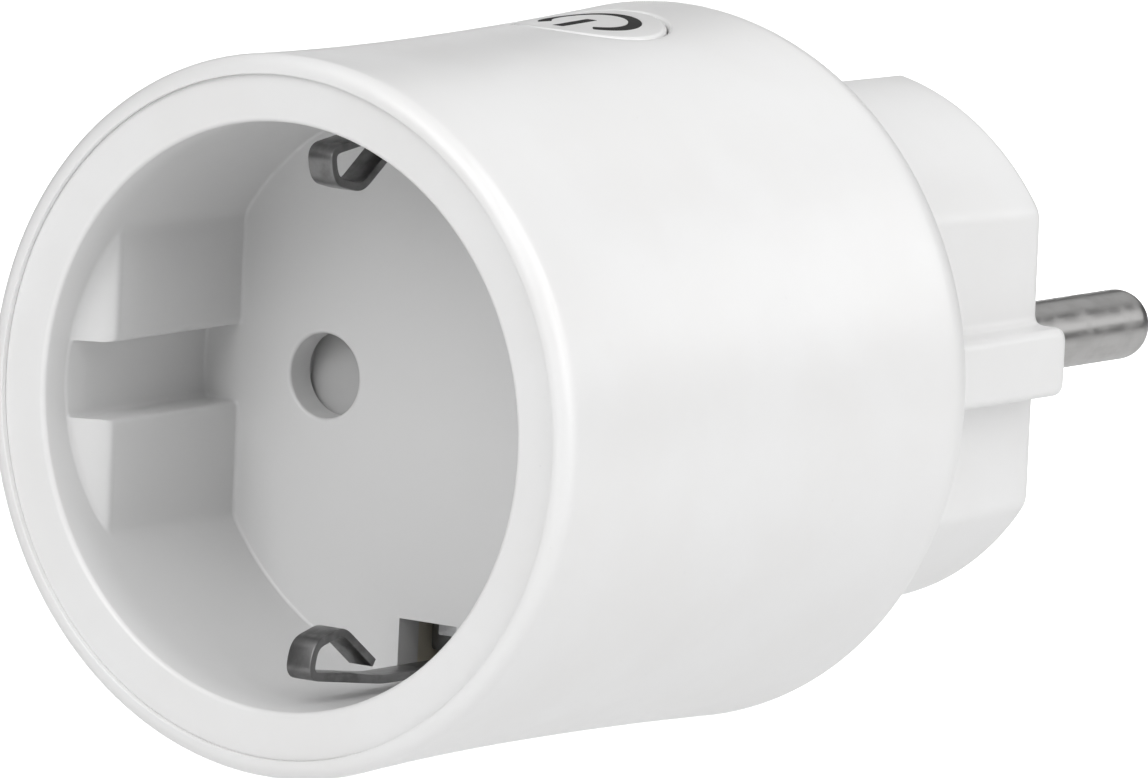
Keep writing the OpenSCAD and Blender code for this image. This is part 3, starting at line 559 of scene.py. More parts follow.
def glass_fibre_board(name, mask_colour, weave_mm=0.35):
    """Solder mask over woven glass: a fine weave, copper tracks seen through the lacquer and pads."""
    f = Finish(name, Coat_Weight=0.4, Coat_Roughness=0.2)
    weave = f.node("ShaderNodeTexChecker", {"Vector": f.place, "Scale": 1 / (weave_mm * MM)})
    cells = f.node("ShaderNodeTexVoronoi", {"Vector": f.place, "Scale": 1 / (3.2 * MM)},
                   distance="CHEBYCHEV", feature="DISTANCE_TO_EDGE")
    tracks = Value(f, cells.outputs["Distance"]).band(0.16, 0.13)
    lighter = tuple(min(1.0, c * 1.6 + 0.02) for c in mask_colour)
    darker = tuple(c * 0.85 for c in mask_colour)
    ground = f.mix(Value(f, weave.outputs["Fac"]) * 0.3, mask_colour, darker)
    f.colour(f.mix(tracks * 0.6, ground, lighter))
    f.roughness(f.noise(1.2) * 0.1 + 0.3)
    f.bump(tracks * 0.6 + Value(f, weave.outputs["Fac"]) * 0.1, 0.02)
    return f.material


def lacquered(name, base, rough, ripple_mm=0.8, depth_mm=0.03, **constants):
    """Dipped or cast coating with soft ripples and small dull spots."""
    f = Finish(name, **constants)
    spots = f.specks(0.6).band(0.2, 0.05)
    f.colour(f.mix(f.noise(1.5).band(0.35, 0.7) * 0.6, base, tuple(c * 0.7 for c in base)))
    f.roughness(spots * 0.2 + f.noise(0.7) * 0.1 + rough)
    f.bump(f.noise(ripple_mm), depth_mm)
    return f.material


def wound_wire(name, base, pitch_mm, axis):
    """Enamelled wire: turns side by side along one axis, with painted shade in the valleys between them."""
    f = Finish(name, Metallic=0.85)
    turns = (f.axis(axis) * (2 * math.pi / pitch_mm)).math("SINE") * 0.5 + 0.5
    # Painted shade: the colour darkens towards the valleys between the turns
    f.colour(f.mix(turns * 0.8 + f.noise(0.6) * 0.2, tuple(c * 0.3 for c in base), base))
    f.roughness(f.noise(0.4) * 0.15 + 0.25)
    f.bump(turns, pitch_mm * 0.4)
    return f.material


def all_finishes():
    """Every finish by its slot name in the record: its maker, the maker's values and its options."""
    along_y, along_z, round_y = (3200, 180, 3200), (3000, 3000, 300), (300, 3600, 300)
    recipes = {
        # The white plastic's `inside` value is the strength of the painted shade in the socket's recess
        "white_plastic": (moulded_plastic, (grey(0.77), grey(0.75, 0.004), 0.36),
                          {"inside": 0.14, "Coat_Weight": 0.12, "Coat_Roughness": 0.25}),
        "symbol_ink": (moulded_plastic, (grey(0.03), grey(0.045), 0.75),
                       {"relief_mm": 0.006, "Specular_IOR_Level": 0.08}),
        "pin_nickel": (drawn_metal, (grey(0.5, 0.01), grey(0.36, 0.02), 0.33, along_y, 0.12),
                       {"relief_mm": 0.0012}),
        "spring_steel": (drawn_metal, (grey(0.24), grey(0.1, 0.01), 0.36, along_y, 0.4),
                         {"relief_mm": 0.0015}),
        "zinc_steel": (drawn_metal, (grey(0.6, -0.01), grey(0.4), 0.4, along_y), {}),
        "contact_bronze": (drawn_metal, ((0.72, 0.46, 0.24), (0.42, 0.22, 0.1), 0.33, along_y), {}),
        "carrier_plastic": (moulded_plastic, ((0.72, 0.69, 0.6), (0.66, 0.62, 0.52), 0.5), {}),
        "shutter_plastic": (moulded_plastic, (grey(0.5), grey(0.46), 0.42), {}),
        "spring_wire": (drawn_metal, (grey(0.55), grey(0.3), 0.28, along_z, 0.4), {}),
        "screw_steel": (drawn_metal, (grey(0.55, -0.01), grey(0.35), 0.35, round_y), {}),
        "board_green": (glass_fibre_board, ((0.02, 0.16, 0.06),), {}),
        "board_blue": (glass_fibre_board, ((0.01, 0.05, 0.2),), {}),
        "relay_case": (moulded_plastic, (grey(0.025), grey(0.035), 0.42), {"relief_mm": 0.01}),
        "can_sleeve": (lacquered, ((0.015, 0.03, 0.12), 0.2), {"Coat_Weight": 0.3}),
        "varistor_coat": (lacquered, ((0.03, 0.12, 0.42), 0.25), {"Coat_Weight": 0.3}),
        "resistor_coat": (lacquered, ((0.22, 0.38, 0.26), 0.55), {}),
        "ferrite": (lacquered, (grey(0.05), 0.55, 0.25, 0.04), {}),
        "copper_wire": (wound_wire, ((0.7, 0.26, 0.1), 0.35, "Y"), {}),
        "film_case": (lacquered, ((0.7, 0.5, 0.08), 0.3, 1.5, 0.02), {}),
        "chip_black": (moulded_plastic, (grey(0.018), grey(0.026), 0.5), {"relief_mm": 0.008}),
        "shield_can": (drawn_metal, (grey(0.65), grey(0.5), 0.28, round_y, 0.4), {}),
        "gold_plate": (drawn_metal, ((0.83, 0.6, 0.22), (0.6, 0.4, 0.12), 0.25, along_y, 0.4), {}),
        "led_lens": (lacquered, ((0.85, 0.8, 0.5), 0.12), {"Coat_Weight": 0.5}),
        "switch_black": (moulded_plastic, (grey(0.03), grey(0.04), 0.45), {}),
        "switch_grey": (moulded_plastic, (grey(0.3), grey(0.26), 0.4), {}),
    }
    return {slot: make(slot, *values, **options) for slot, (make, values, options) in recipes.items()}


# ---- Casing ----

def sleeve_profile():
    """The sleeve's wall as a closed [radius, y] loop. Its outer and inner side rows share their levels, so
    that a hole can join both. Returns the loop, and for each side its levels and its first row."""
    front_r, rear_r = float(body_r(FRONT_SHOULDER_Y)), float(body_r(REAR_SHOULDER_Y))
    rear_centre = (rear_r - SHOULDER_ROUND, REAR_SHOULDER_Y)
    seam_r = front_r - LIP_W
    opening_r = BOSS_ROOT_R + OPENING_GAP
    step_y = RING_BACK_Y + STEP_GAP
    sides = np.linspace(FRONT_SHOULDER_Y, REAR_SHOULDER_Y, 84)
    inner = sides[sides > step_y + 0.2][::-1]
    lip = np.vstack([[[seam_r, step_y], [seam_r, (step_y + FRONT_Y) / 2], [seam_r, FRONT_Y + 0.2]],
                     arc((seam_r + SEAM_EDGE, FRONT_Y + SEAM_EDGE), SEAM_EDGE, 180, 270, 4),
                     arc((front_r - LIP_ROUND, FRONT_SHOULDER_Y), LIP_ROUND, -90, 0, 12)[:-1]])
    rear = np.vstack([arc(rear_centre, SHOULDER_ROUND, 0, 90, 22)[1:],
                      arc((opening_r + OPENING_EDGE, REAR_Y - OPENING_EDGE), OPENING_EDGE, 90, 180, 4),
                      [[opening_r, REAR_Y - WALL]],
                      arc(rear_centre, SHOULDER_ROUND - WALL, 90, 0, 8)[:-1]])
    end = [[float(body_r(step_y)) - WALL, step_y]]
    loop = np.vstack([lip, np.c_[body_r(sides), sides], rear, np.c_[body_r(inner) - WALL, inner], end])
    return loop, ((sides, len(lip)), (inner, len(lip) + len(sides) + len(rear)))


def window(levels, first, y0, y1):
    """Rows of the profile from y0 to y1, lowest level first."""
    rows = [first + i for i, y in enumerate(levels) if y0 <= y <= y1]
    return rows if levels[0] < levels[-1] else rows[::-1]


def outer_sleeve(material):
    """The waisted shell: its wall profile turned about Y, with a square window round the button.
    A tube of rings fills the window: square edge, rounded rim, hole wall, then the inner square edge."""
    shell = Shell()
    profile, sides = sleeve_profile()
    n = 288
    a = np.linspace(0, 2 * math.pi, n, endpoint=False) + math.pi / 2
    r, y = profile[:, 0, None], profile[:, 1, None]
    surface = np.stack([r * np.cos(a), y + 0 * a, r * np.sin(a)], 2)
    hole_r = BUTTON_R + BUTTON_GAP
    half = hole_r + 2.2
    cols = int(round(half / WAIST_R / (2 * math.pi / n)))
    keep = np.ones((len(profile), n), bool)
    columns = [c % n for c in range(-cols, cols + 1)]
    edges = []
    for levels, first in sides:
        rows = window(levels, first, BUTTON_Y - half, BUTTON_Y + half)
        keep[np.ix_(range(min(rows), max(rows)), columns[:-1])] = False
        edge = ([(rows[0], c) for c in columns] + [(q, columns[-1]) for q in rows[1:]]
                + [(rows[-1], c) for c in columns[::-1][1:]] + [(q, columns[0]) for q in rows[::-1][1:-1]])
        edges.append(surface[tuple(np.array(edge).T)])
    shell.grid(surface, wrap_u=True, wrap_v=True, keep=keep)
    outer, inner = edges
    centre = np.array([0.0, BUTTON_Y])
    way = outer[:, :2] - centre
    way /= np.linalg.norm(way, axis=1)[:, None]

    def ring(distance, sink, inset=0.0):
        """Points at one distance from the button's axis, on the body less an inset and a sink."""
        flat = centre + way * np.broadcast_to(distance, len(way))[:, None]
        return np.c_[flat, body_top(flat, inset) - sink]

    reach_out, reach_in = (np.linalg.norm(edge[:, :2] - centre, axis=1) for edge in edges)
    rim = 0.3
    rings = [outer]
    rings += [ring(reach_out + (hole_r + rim - reach_out) * t, 0.0) for t in np.linspace(0, 1, 10)[1:]]
    rings += [ring(hole_r + rim - along, inward) for inward, along in edge_steps(rim, 5)[1:]]
    rings += [ring(hole_r, (1 - t) * rim, WALL * t) for t in (0.33, 0.66, 1.0)]
    rings += [ring(hole_r + (reach_in - hole_r) * t, 0.0, WALL) for t in np.linspace(0, 1, 6)[1:-1]]
    shell.rings(*rings, inner)
    key_rib(shell)
    return shell.build("outer_sleeve_shell", material, "body", ["outer_sleeve"])


def key_rib(shell):
    """The rib inside the sleeve that keeps it from turning, a rounded bar along Y at 45 degrees."""
    foot, top, half_w = INNER_R + 0.3, INNER_R - 1.9, 1.2
    corners = np.array([[top, -half_w], [foot, -half_w], [foot, half_w], [top, half_w], [top, -half_w]])
    bar = soften(sample(corners, [10, 10, 10, 10])[:-1], 0.4, closed=True)
    turn = np.array([[1.0, 1.0], [-1.0, 1.0]]) / math.sqrt(2)
    y0, y1 = FLOOR_BACK_Y + 0.2, high("contact_carrier")[1] - 2
    shell.rings(at_y(bar @ turn, y0), at_y(bar @ turn, y1))
    for y in (y0, y1):
        shell.flat([bar], lambda p, y=y: at_y(p @ turn, y))


def recess_loop():
    """Cross-section of the recess as a closed loop: wall arcs, and four guide pads with rounded corners."""
    pad_z = PAD_Z[0]
    root = math.sqrt(RECESS_R ** 2 - pad_z ** 2)
    pad_top = math.sqrt(RECESS_R ** 2 - PAD_FACE ** 2)
    channel = arc((0, 0), RECESS_R, 0, math.degrees(math.atan2(pad_z, root)), 12)
    pad = sample(np.array([[root, pad_z], [PAD_FACE, pad_z], [PAD_FACE, pad_top]]), [16, 36])[1:]
    wall = arc((0, 0), RECESS_R, math.degrees(math.atan2(pad_top, PAD_FACE)), 90, 50)[1:]
    whole = mirrored(np.vstack([channel, pad, wall]))
    near_wall = np.abs(whole[:, 1]) > PAD_Z[1] + 1.5
    return soften(whole, np.where(near_wall, 0.2, PAD_CORNER), closed=True)


def recess_level(loop, pad_x):
    """The recess loop with its pads cut back to pad_x: each point keeps its height, and moves out to pad_x
    but never past the wall."""
    wall = np.sqrt(np.maximum(RECESS_R ** 2 - loop[:, 1] ** 2, 0))
    x = -smooth_max(-smooth_max(np.abs(loop[:, 0]), pad_x, 0.25), -wall, 0.25)
    near = np.abs(loop[:, 1]) < PAD_Z[1] + 1.5
    return np.c_[np.where(near, np.minimum(x, wall) * np.sign(loop[:, 0]), loop[:, 0]), loop[:, 1]]


def insert_levels(loop):
    """Loops of the socket insert's skin, from its back over the ring and the mouth down the recess."""
    plain = recess_level(loop, 2 * RECESS_R)
    mouth_y = RING_Y + MOUTH_ROUND
    profile = [(RECESS_R + RECESS_WALL, FLOOR_BACK_Y), (RECESS_R + RECESS_WALL, RING_BACK_Y),
               (RING_R, RING_BACK_Y), (RING_R, RING_Y + 0.4)]
    profile += [(RING_R - inward, RING_Y + SEAM_EDGE - along) for inward, along in edge_steps(SEAM_EDGE, 4)]
    profile += [(RING_R - 0.2, RING_Y), (RECESS_R + MOUTH_ROUND + 0.1, RING_Y)]
    profile += [(RECESS_R + inward, mouth_y - along) for inward, along in edge_steps(MOUTH_ROUND, 8)[::-1]]
    start = RING_Y + PAD_START
    levels = round_levels(plain, profile) + [at_y(plain, mouth_y + 0.3), at_y(plain, start - 0.5)]
    slope = (RECESS_R + 0.3 - PAD_FACE) / PAD_RAMP
    for y in np.linspace(start - 0.3, start + PAD_RAMP + 0.7, 22):
        ramp_x = RECESS_R + 0.3 - (y - start) * slope
        levels.append(at_y(recess_level(loop, float(smooth_max(ramp_x, PAD_FACE, 0.9))), y))
    return levels + [at_y(loop, y) for y in np.linspace(start + PAD_RAMP + 1.2, FLOOR_Y - FLOOR_FILLET, 8)]


def round_levels(loop, profile):
    """A circle for each [radius, y] of a profile, with its points at the angles of the loop's points."""
    angle = np.arctan2(loop[:, 1], loop[:, 0])
    return [at_y(np.c_[r * np.cos(angle), r * np.sin(angle)], y) for r, y in profile]


def socket_insert(material):
    """Front ring, recess wall with pads, floor with holes and slots, and the back, as one closed shell."""
    shell = Shell()
    loop = recess_loop()
    levels = insert_levels(loop)
    shell.rings(*levels)
    # The wall goes on to the back over the two clip slots; elsewhere a small fillet leads into the floor
    inwards = inward_normals(loop)
    slot = (np.abs(loop[:, 0]) < SLOT_HALF_W) & (np.abs(loop[:, 1]) > SLOT_INNER)
    ends = slot & ~(np.roll(slot, 1) & np.roll(slot, -1))
    inwards[ends] = np.c_[np.zeros(ends.sum()), -np.sign(loop[ends, 1])]
    fillet = [at_y(loop + inwards * inward, FLOOR_Y - FLOOR_FILLET + along)
              for inward, along in edge_steps(FLOOR_FILLET, 5)]
    keep = np.ones((len(fillet) - 1, len(loop)), bool)
    keep[:, slot & np.roll(slot, -1)] = False
    shell.grid(np.stack(fillet), wrap_v=True, keep=keep)
    floor_edge = loop + inwards * FLOOR_FILLET
    slots = [clip_slot(shell, loop, floor_edge, np.where(slot & (loop[:, 1] * up > 0))[0]) for up in (1, -1)]
    holes_front = pin_entries(shell)
    shell.flat([floor_outline(floor_edge, slots)] + holes_front, lambda p: at_y(p, FLOOR_Y))
    holes_back = [ring_loop(ENTRY_R, 72, (side * PIN_X, 0.0)) for side in (-1, 1)] + [s[3] for s in slots]
    for x in (-SCREW_X, SCREW_X):
        for z in (-SCREW_Z, SCREW_Z):
            bore = ring_loop(SCREW_R, 24, (x, z))
            shell.rings(at_y(bore, FLOOR_BACK_Y), at_y(bore, FLOOR_BACK_Y - SCREW_DEPTH))
            shell.flat([bore], lambda p: at_y(p, FLOOR_BACK_Y - SCREW_DEPTH))
            holes_back.append(bore)
    shell.flat([levels[0][:, [0, 2]]] + holes_back, lambda p: at_y(p, FLOOR_BACK_Y))
    return shell.build("socket_insert_shell", material, "body", ["socket_insert"])


def clip_slot(shell, loop, floor_edge, run):
    """A slot through the floor beside the wall: its inner side, the wall behind it and two flat cheeks.
    Returns its first and last points on the loop, its edge on the floor and its outline at the back."""
    first, last = run[0], run[-1]
    inner_z = np.sign(loop[first, 1]) * SLOT_INNER
    bottom = sample(np.array([[loop[last, 0], inner_z], [loop[first, 0], inner_z]]), [8])
    shell.grid(np.stack([at_y(bottom, y) for y in (FLOOR_Y, FLOOR_BACK_Y)]))
    shell.grid(np.stack([at_y(loop[run], y) for y in (FLOOR_Y - FLOOR_FILLET, FLOOR_BACK_Y)]))
    fronts, backs = [], []
    for k in (last, first):
        x, wall_z = loop[k]
        towards = np.sign(wall_z)
        bend = np.array([[FLOOR_Y - FLOOR_FILLET + along, wall_z - towards * inward]
                         for inward, along in edge_steps(FLOOR_FILLET, 5)])
        front = sample(np.array([[FLOOR_Y, floor_edge[k, 1]], [FLOOR_Y, inner_z]]), [6])
        back = sample(np.array([[FLOOR_BACK_Y, inner_z], [FLOOR_BACK_Y, wall_z]]), [7])
        shell.flat([np.vstack([bend[:-1], front, back])], lambda p, x=x: np.c_[np.full(len(p), x), p])
        fronts.append(np.c_[np.full(len(front), x), front[:, 1]])
        backs.append(np.c_[np.full(len(back), x), back[:, 1]])
    front_edge = np.vstack([fronts[0], bottom[1:-1], fronts[1][::-1]])
    back_edge = np.vstack([loop[run], backs[0][::-1][1:], bottom[1:-1], backs[1][:-1]])
    return first, last, front_edge, back_edge


def floor_outline(floor_edge, slots):
    """The floor's outline: it follows the fillet and goes round each slot."""
    outline, k = [], 0
    skip = {slot[0]: slot[1:3] for slot in slots}
    while k < len(floor_edge):
        if k in skip:
            last, edge = skip[k]
            outline += list(edge[::-1])
            k = last + 1
        else:
            outline.append(floor_edge[k])
            k += 1
    return np.array(outline)


def pin_entries(shell):
    """Two holes with rounded edges through the floor. Returns their outlines on the floor."""
    mouth_r = ENTRY_R + ENTRY_EDGE + 0.1
    profile = [(mouth_r, FLOOR_Y)]
    profile += [(ENTRY_R + inward, FLOOR_Y + ENTRY_EDGE - along)
                for inward, along in edge_steps(ENTRY_EDGE, 5)[::-1]]
    profile += [(ENTRY_R, FLOOR_BACK_Y)]
    centres = [(side * PIN_X, 0.0) for side in (-1, 1)]
    for centre in centres:
        shell.turned(profile, 72, centre)
    return [ring_loop(mouth_r, 72, centre) for centre in centres]


# ---- Plug ----

def boss_loop(r, flat_x, rib_x, rib_h, groove):
    """Outline of the boss: a circle with two flats, a rib on each flat and, if asked, two earth grooves."""
    r_flat_z = math.sqrt(r ** 2 - flat_x ** 2)
    top = math.sqrt(r ** 2 - GROOVE_HALF_W ** 2)
    a_flat = math.degrees(math.atan2(r_flat_z, flat_x))
    a_groove = math.degrees(math.atan2(top, GROOVE_HALF_W))
    rib = sample(np.array([[rib_x, 0.0], [rib_x, rib_h], [flat_x, rib_h], [flat_x, r_flat_z]]), [16, 16, 34])
    bow = arc((0, 0), r, a_flat, a_groove, 90)[1:]
    if groove:
        corners = np.array([[GROOVE_HALF_W, top], [GROOVE_HALF_W, GROOVE_Z], [0.0, GROOVE_Z]])
        middle = sample(corners, [10, 14])[1:]
    else:
        middle = arc((0, 0), r, a_groove, 90, 24)[1:]
    whole = mirrored(np.vstack([rib, bow, middle]))
    near_groove = (np.abs(whole[:, 0]) < 4) & (np.abs(whole[:, 1]) > 12)
    near_rib = np.abs(whole[:, 1]) < 3.5
    return soften(whole, np.where(near_groove, 0.35, np.where(near_rib, 1.6, 1.25)), closed=True)


def boss_r(y):
    """Boss radius with a small draft, from the root to the face."""
    return BOSS_ROOT_R + (BOSS_FACE_R - BOSS_ROOT_R) * (y - BOSS_ROOT_Y) / -BOSS_ROOT_Y


def plug_base(material):
    """The boss with its rounded face edge and its hollow, and the flange behind the sleeve."""
    shell = Shell()
    plain = boss_loop(BOSS_ROOT_R, FLAT_X, RIB_X, RIB_HALF_H, False)
    levels = round_levels(plain, [(FLANGE_R, FLANGE_Y0), (FLANGE_R, FLANGE_Y1),
                                  (BOSS_ROOT_R, FLANGE_Y1), (BOSS_ROOT_R, BOSS_ROOT_Y)])
    levels += [at_y(plain, BOSS_ROOT_Y), at_y(plain, GROOVE_END_Y)]
    for y in np.linspace(GROOVE_END_Y, -BOSS_ROUND, 14):
        levels.append(at_y(boss_loop(boss_r(y), FLAT_X, RIB_X, RIB_HALF_H, True), y))
    for inward, along in edge_steps(BOSS_ROUND, 8)[1:]:
        loop = boss_loop(boss_r(-BOSS_ROUND) - inward, FLAT_X - inward, RIB_X - inward * 0.75,
                         RIB_HALF_H - inward * 0.55, True)
        levels.append(at_y(loop, -BOSS_ROUND + along))
    shell.rings(*levels)
    centres = [(side * PIN_X, 0.0) for side in (-1, 1)]
    shell.flat([levels[-1][:, [0, 2]]] + [ring_loop(PIN_R, 64, c) for c in centres], lambda p: at_y(p, 0.0))
    for centre in centres:
        shell.turned([(PIN_R, 0.0), (PIN_R, -PIN_RELIEF), (SHANK_BORE_R, -PIN_RELIEF),
                      (SHANK_BORE_R, -BOSS_WALL)], 64, centre)
    corners = np.array([[13.6, 0.0], [13.6, 9.0], [7.6, 14.0], [0.0, 14.0]])
    hollow = mirrored(soften(sample(corners, [24, 24, 24]), 1.5))
    bores = [ring_loop(SHANK_BORE_R, 64, centre) for centre in centres]
    shell.flat([hollow] + bores, lambda p: at_y(p, -BOSS_WALL))
    shell.rings(at_y(hollow, -BOSS_WALL), at_y(hollow, FLANGE_Y0))
    shell.flat([levels[0][:, [0, 2]], hollow], lambda p: at_y(p, FLANGE_Y0))
    return shell.build("plug_base_shell", material, "body", ["plug_base"])


def snap_arms(material):
    """Two flat arms that stand on the flange and end in a barbed hook, and two posts for the board."""
    shell = Shell()
    arm_x, thick, half_w, barb = INNER_R - 3.4, 1.5, 2.4, 0.8
    root = FLANGE_Y0 + 0.05
    hook = np.array([[arm_x, root], [arm_x + thick, root], [arm_x + thick, ARM_Y + 0.15],
                     [arm_x + 0.6, ARM_Y], [arm_x - barb, ARM_Y + 0.6], [arm_x - barb, ARM_Y + 1.0],
                     [arm_x, ARM_Y + 1.0], [arm_x, root]])
    path = soften(sample(hook, [8, 24, 6, 8, 4, 6, 24])[:-1], 0.4, closed=True)
    for side in (-1, 1):
        rings = slab(path, half_w, 0.1, lambda flat, z: at_z(flat * [side, 1], z))
        shell.rings(*rings)
        for ring in (rings[0], rings[-1]):
            shell.flat([ring[:, :2]], lambda p, z=ring[0, 2]: at_z(p, z))
    place = BOARD_POST_R * math.cos(math.pi / 4)
    y0, y1, edge = high("main_board")[1] + 0.02, FLANGE_Y0 + 0.1, 0.15
    bore, post_r = 0.85, 1.8
    for x in (-place, place):
        shell.turned([(bore, y1), (bore, y0 + edge), (bore + edge, y0), (post_r - edge, y0),
                      (post_r, y0 + edge), (post_r, y1)], 40, (x, -place), wrap=True)
    return shell.build("snap_arms", material, "body")


def plug_pin(name, side, material):
    """A turned pin: round nose, shank in the boss, collar and solder tail, as one profile about its axis."""
    shell = Shell()
    collar_y1 = -BOSS_WALL - 0.05
    collar_y0 = collar_y1 - 2.3
    edge, tail_edge, neck = 0.25, 0.2, 0.3
    profile = np.vstack([
        [[0.0, PIN_TAIL_Y], [TAIL_R - tail_edge, PIN_TAIL_Y], [TAIL_R, PIN_TAIL_Y + tail_edge],
         [TAIL_R, collar_y0 - neck]],
        arc((TAIL_R + neck, collar_y0 - neck), neck, 180, 90, 4)[1:],
        arc((COLLAR_R - edge, collar_y0 + edge), edge, -90, 0, 4),
        arc((COLLAR_R - edge, collar_y1 - edge), edge, 0, 90, 4),
        [[SHANK_R, collar_y1], [SHANK_R, 0.0], [PIN_R, 0.0], [PIN_R, 0.3]],
        np.c_[np.full(5, PIN_R), np.linspace(2, PIN_LEN - PIN_ROUND - 0.4, 5)],
        arc((PIN_R - PIN_ROUND, PIN_LEN - PIN_ROUND), PIN_ROUND, 0, 90, 20),
        [[0.0, PIN_LEN]]])
    shell.turned(profile, 96, (side * PIN_X, 0.0))
    return shell.build(name + "_turned", material, "body", [name])


# ---- Bent strips ----

def bent_strip(shell, path, width, thick, edge=0.08, flip=1.0):
    """A flat strip whose middle line is a path in Y and Z, with a rounded rectangle as its section.
    Each point of the section stands off the path along its normal, and across it along X."""
    d = np.gradient(path, axis=0)
    d /= np.linalg.norm(d, axis=1)[:, None]
    normal = np.c_[-d[:, 1], d[:, 0]]
    w, t = width / 2 - edge, thick / 2 - edge
    corners = [arc((sx * w, st * t), edge, a, a + 90, 4)
               for sx, st, a in ((1, 1, 0), (-1, 1, 90), (-1, -1, 180), (1, -1, 270))]
    across, off = np.vstack(corners).T
    surface = np.stack([np.c_[across, p[0] + nrm[0] * off, flip * (p[1] + nrm[1] * off)]
                        for p, nrm in zip(path, normal)])
    shell.grid(surface, wrap_v=True)
    for end in (surface[0], surface[-1]):
        middle = end.mean(0)
        inner = middle + (end - middle) * 0.94
        shell.grid(np.stack([end, inner]), wrap_v=True)
        n = len(end)
        shell.add(np.vstack([inner, middle]), [(i, (i + 1) % n, n) for i in range(n)])


def clip_path():
    """Middle line of an earth clip: foot, leg, nose and the leaf that comes back towards the floor."""
    z = CLIP_LEG_Z
    corners = np.array([[CLIP_FOOT_Y, z - 1.4], [CLIP_FOOT_Y, z], [FLOOR_Y - 5.9, z], [RING_Y + 3.5, z - 1],
                        [RING_Y + 4, z - 3.05], [RING_Y + 6.9, z - 3.75], [RING_Y + 10.4, z - 1.25]])
    return soften(soften(sample(corners, [10, 40, 40, 20, 26, 30]), 1.5), 0.8)


def earth_clip(name, flip, material):
    """A bent spring leaf with its foot plate; the plate has a square hole that seats on the rail's tab."""
    shell = Shell()
    bent_strip(shell, clip_path(), CLIP_W, CLIP_T, flip=flip)

    def frame_of(x, z0, z1, counts, rounding):
        """A rounded rectangle in X and Z, from -x to x and from z0 to z1."""
        corners = np.array([[-x, z0], [x, z0], [x, z1], [-x, z1], [-x, z0]])
        return soften(sample(corners, counts)[:-1], rounding, closed=True) * [1, flip]

    plate = frame_of(2.1, 15.0, RECESS_R - 1.7, [20, 14, 20, 14], 0.5)
    hole = frame_of(1.2, 15.6, 16.8, [12, 8, 12, 8], 0.25)
    rings = slab(plate, CLIP_T / 2, 0.1, lambda flat, level: at_y(flat, CLIP_FOOT_Y + level))
    shell.rings(*rings)
    faces = (CLIP_FOOT_Y - CLIP_T / 2, CLIP_FOOT_Y + CLIP_T / 2)
    for y in faces:
        shell.flat([rings[0][:, [0, 2]], hole], lambda p, y=y: at_y(p, y))
    shell.rings(*[at_y(hole, y) for y in faces])
    return shell.build(name + "_bent", material, name.replace("earth_", ""), [name])


def earth_rail(name, flip, material):
    """A rail of the earth path: a strip, its lip bent inwards at the wall end, and a tab for the clip."""
    shell = Shell()
    lip_y = RAIL_END_Y - RAIL_T / 2
    corners = np.array([[RAIL_FRONT_Y, RAIL_Z], [lip_y, RAIL_Z], [lip_y, RAIL_Z - 1.7]])
    path = soften(sample(corners, [90, 16]), np.r_[np.full(80, 0.1), np.full(27, 0.7)])
    bent_strip(shell, path, RAIL_W, RAIL_T, 0.1, flip)
    tab = np.array([[RAIL_FRONT_Y - RAIL_TAB, RAIL_Z], [RAIL_FRONT_Y + 0.2, RAIL_Z]])
    bent_strip(shell, sample(tab, [6]), CLIP_W, RAIL_T, 0.1, flip)
    return shell.build(name + "_bent", material, "body", [name])


def earth_bridge(material):
    """The strip that joins both rails, folded along them at each end."""
    shell = Shell()
    z, fold = RAIL_Z - RAIL_T / 2 - BRIDGE_T / 2, 3.8
    corners = np.array([[BRIDGE_Y - fold, z], [BRIDGE_Y, z], [BRIDGE_Y, -z], [BRIDGE_Y - fold, -z]])
    path = soften(sample(corners, [20, 120, 20]), 1.1)
    bent_strip(shell, path, RAIL_W, BRIDGE_T, 0.1)
    return shell.build("earth_bridge_bent", material, "body", ["earth_bridge"])


# ---- Inner parts with broken edges ----

def edged(node, material, edge_mm):
    """A frame node's own shape, merged, with every sharp edge rounded by the same small radius."""
    source = frame["nodes"][node]
    mesh = source.data.copy()
    mesh.name = node + "_edged"
    bm = bmesh.new()
    bm.from_mesh(mesh)
    bmesh.ops.remove_doubles(bm, verts=bm.verts, dist=2e-6)
    bmesh.ops.dissolve_limit(bm, angle_limit=math.radians(0.5), verts=bm.verts, edges=bm.edges)
    sharp = [e for e in bm.edges if len(e.link_faces) == 2 and e.calc_face_angle(0) > math.radians(35)]
    bmesh.ops.bevel(bm, geom=sharp, offset=edge_mm * MM, offset_type="OFFSET", segments=2, profile=0.5,
                    affect="EDGES", clamp_overlap=True)
    bmesh.ops.remove_doubles(bm, verts=bm.verts, dist=1e-6)
    write_mesh(bm, mesh, 50)
    piece = place_piece(mesh.name, mesh, material, source["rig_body"], [node])
    even = piece.modifiers.new("even_shading", "WEIGHTED_NORMAL")
    even.keep_sharp = True
    return piece


# ---- Button ----

def symbol_loops():
    """Power symbol in X and Y: a ring open towards the user, and a bar in its opening."""
    sweep = np.linspace(SYMBOL_OPENING - math.pi / 2, 1.5 * math.pi - SYMBOL_OPENING, 110)
    way = np.c_[np.cos(sweep), np.sin(sweep)]
    outer, inner = SYMBOL_R * way, (SYMBOL_R - SYMBOL_LINE) * way[::-1]
    caps = [sample(np.array(ends), [8])[1:-1] for ends in ((outer[-1], inner[0]), (inner[-1], outer[0]))]
    ring = np.vstack([outer, caps[0], inner, caps[1]])
    x, y0, y1 = SYMBOL_LINE / 2, -3.7, 0.3
    bar = sample(np.array([[-x, y0], [x, y0], [x, y1], [-x, y1], [-x, y0]]), [8, 34, 8, 34])[:-1]
    return [soften(loop, 0.3, closed=True) + [0.0, BUTTON_Y] for loop in (ring, bar)]


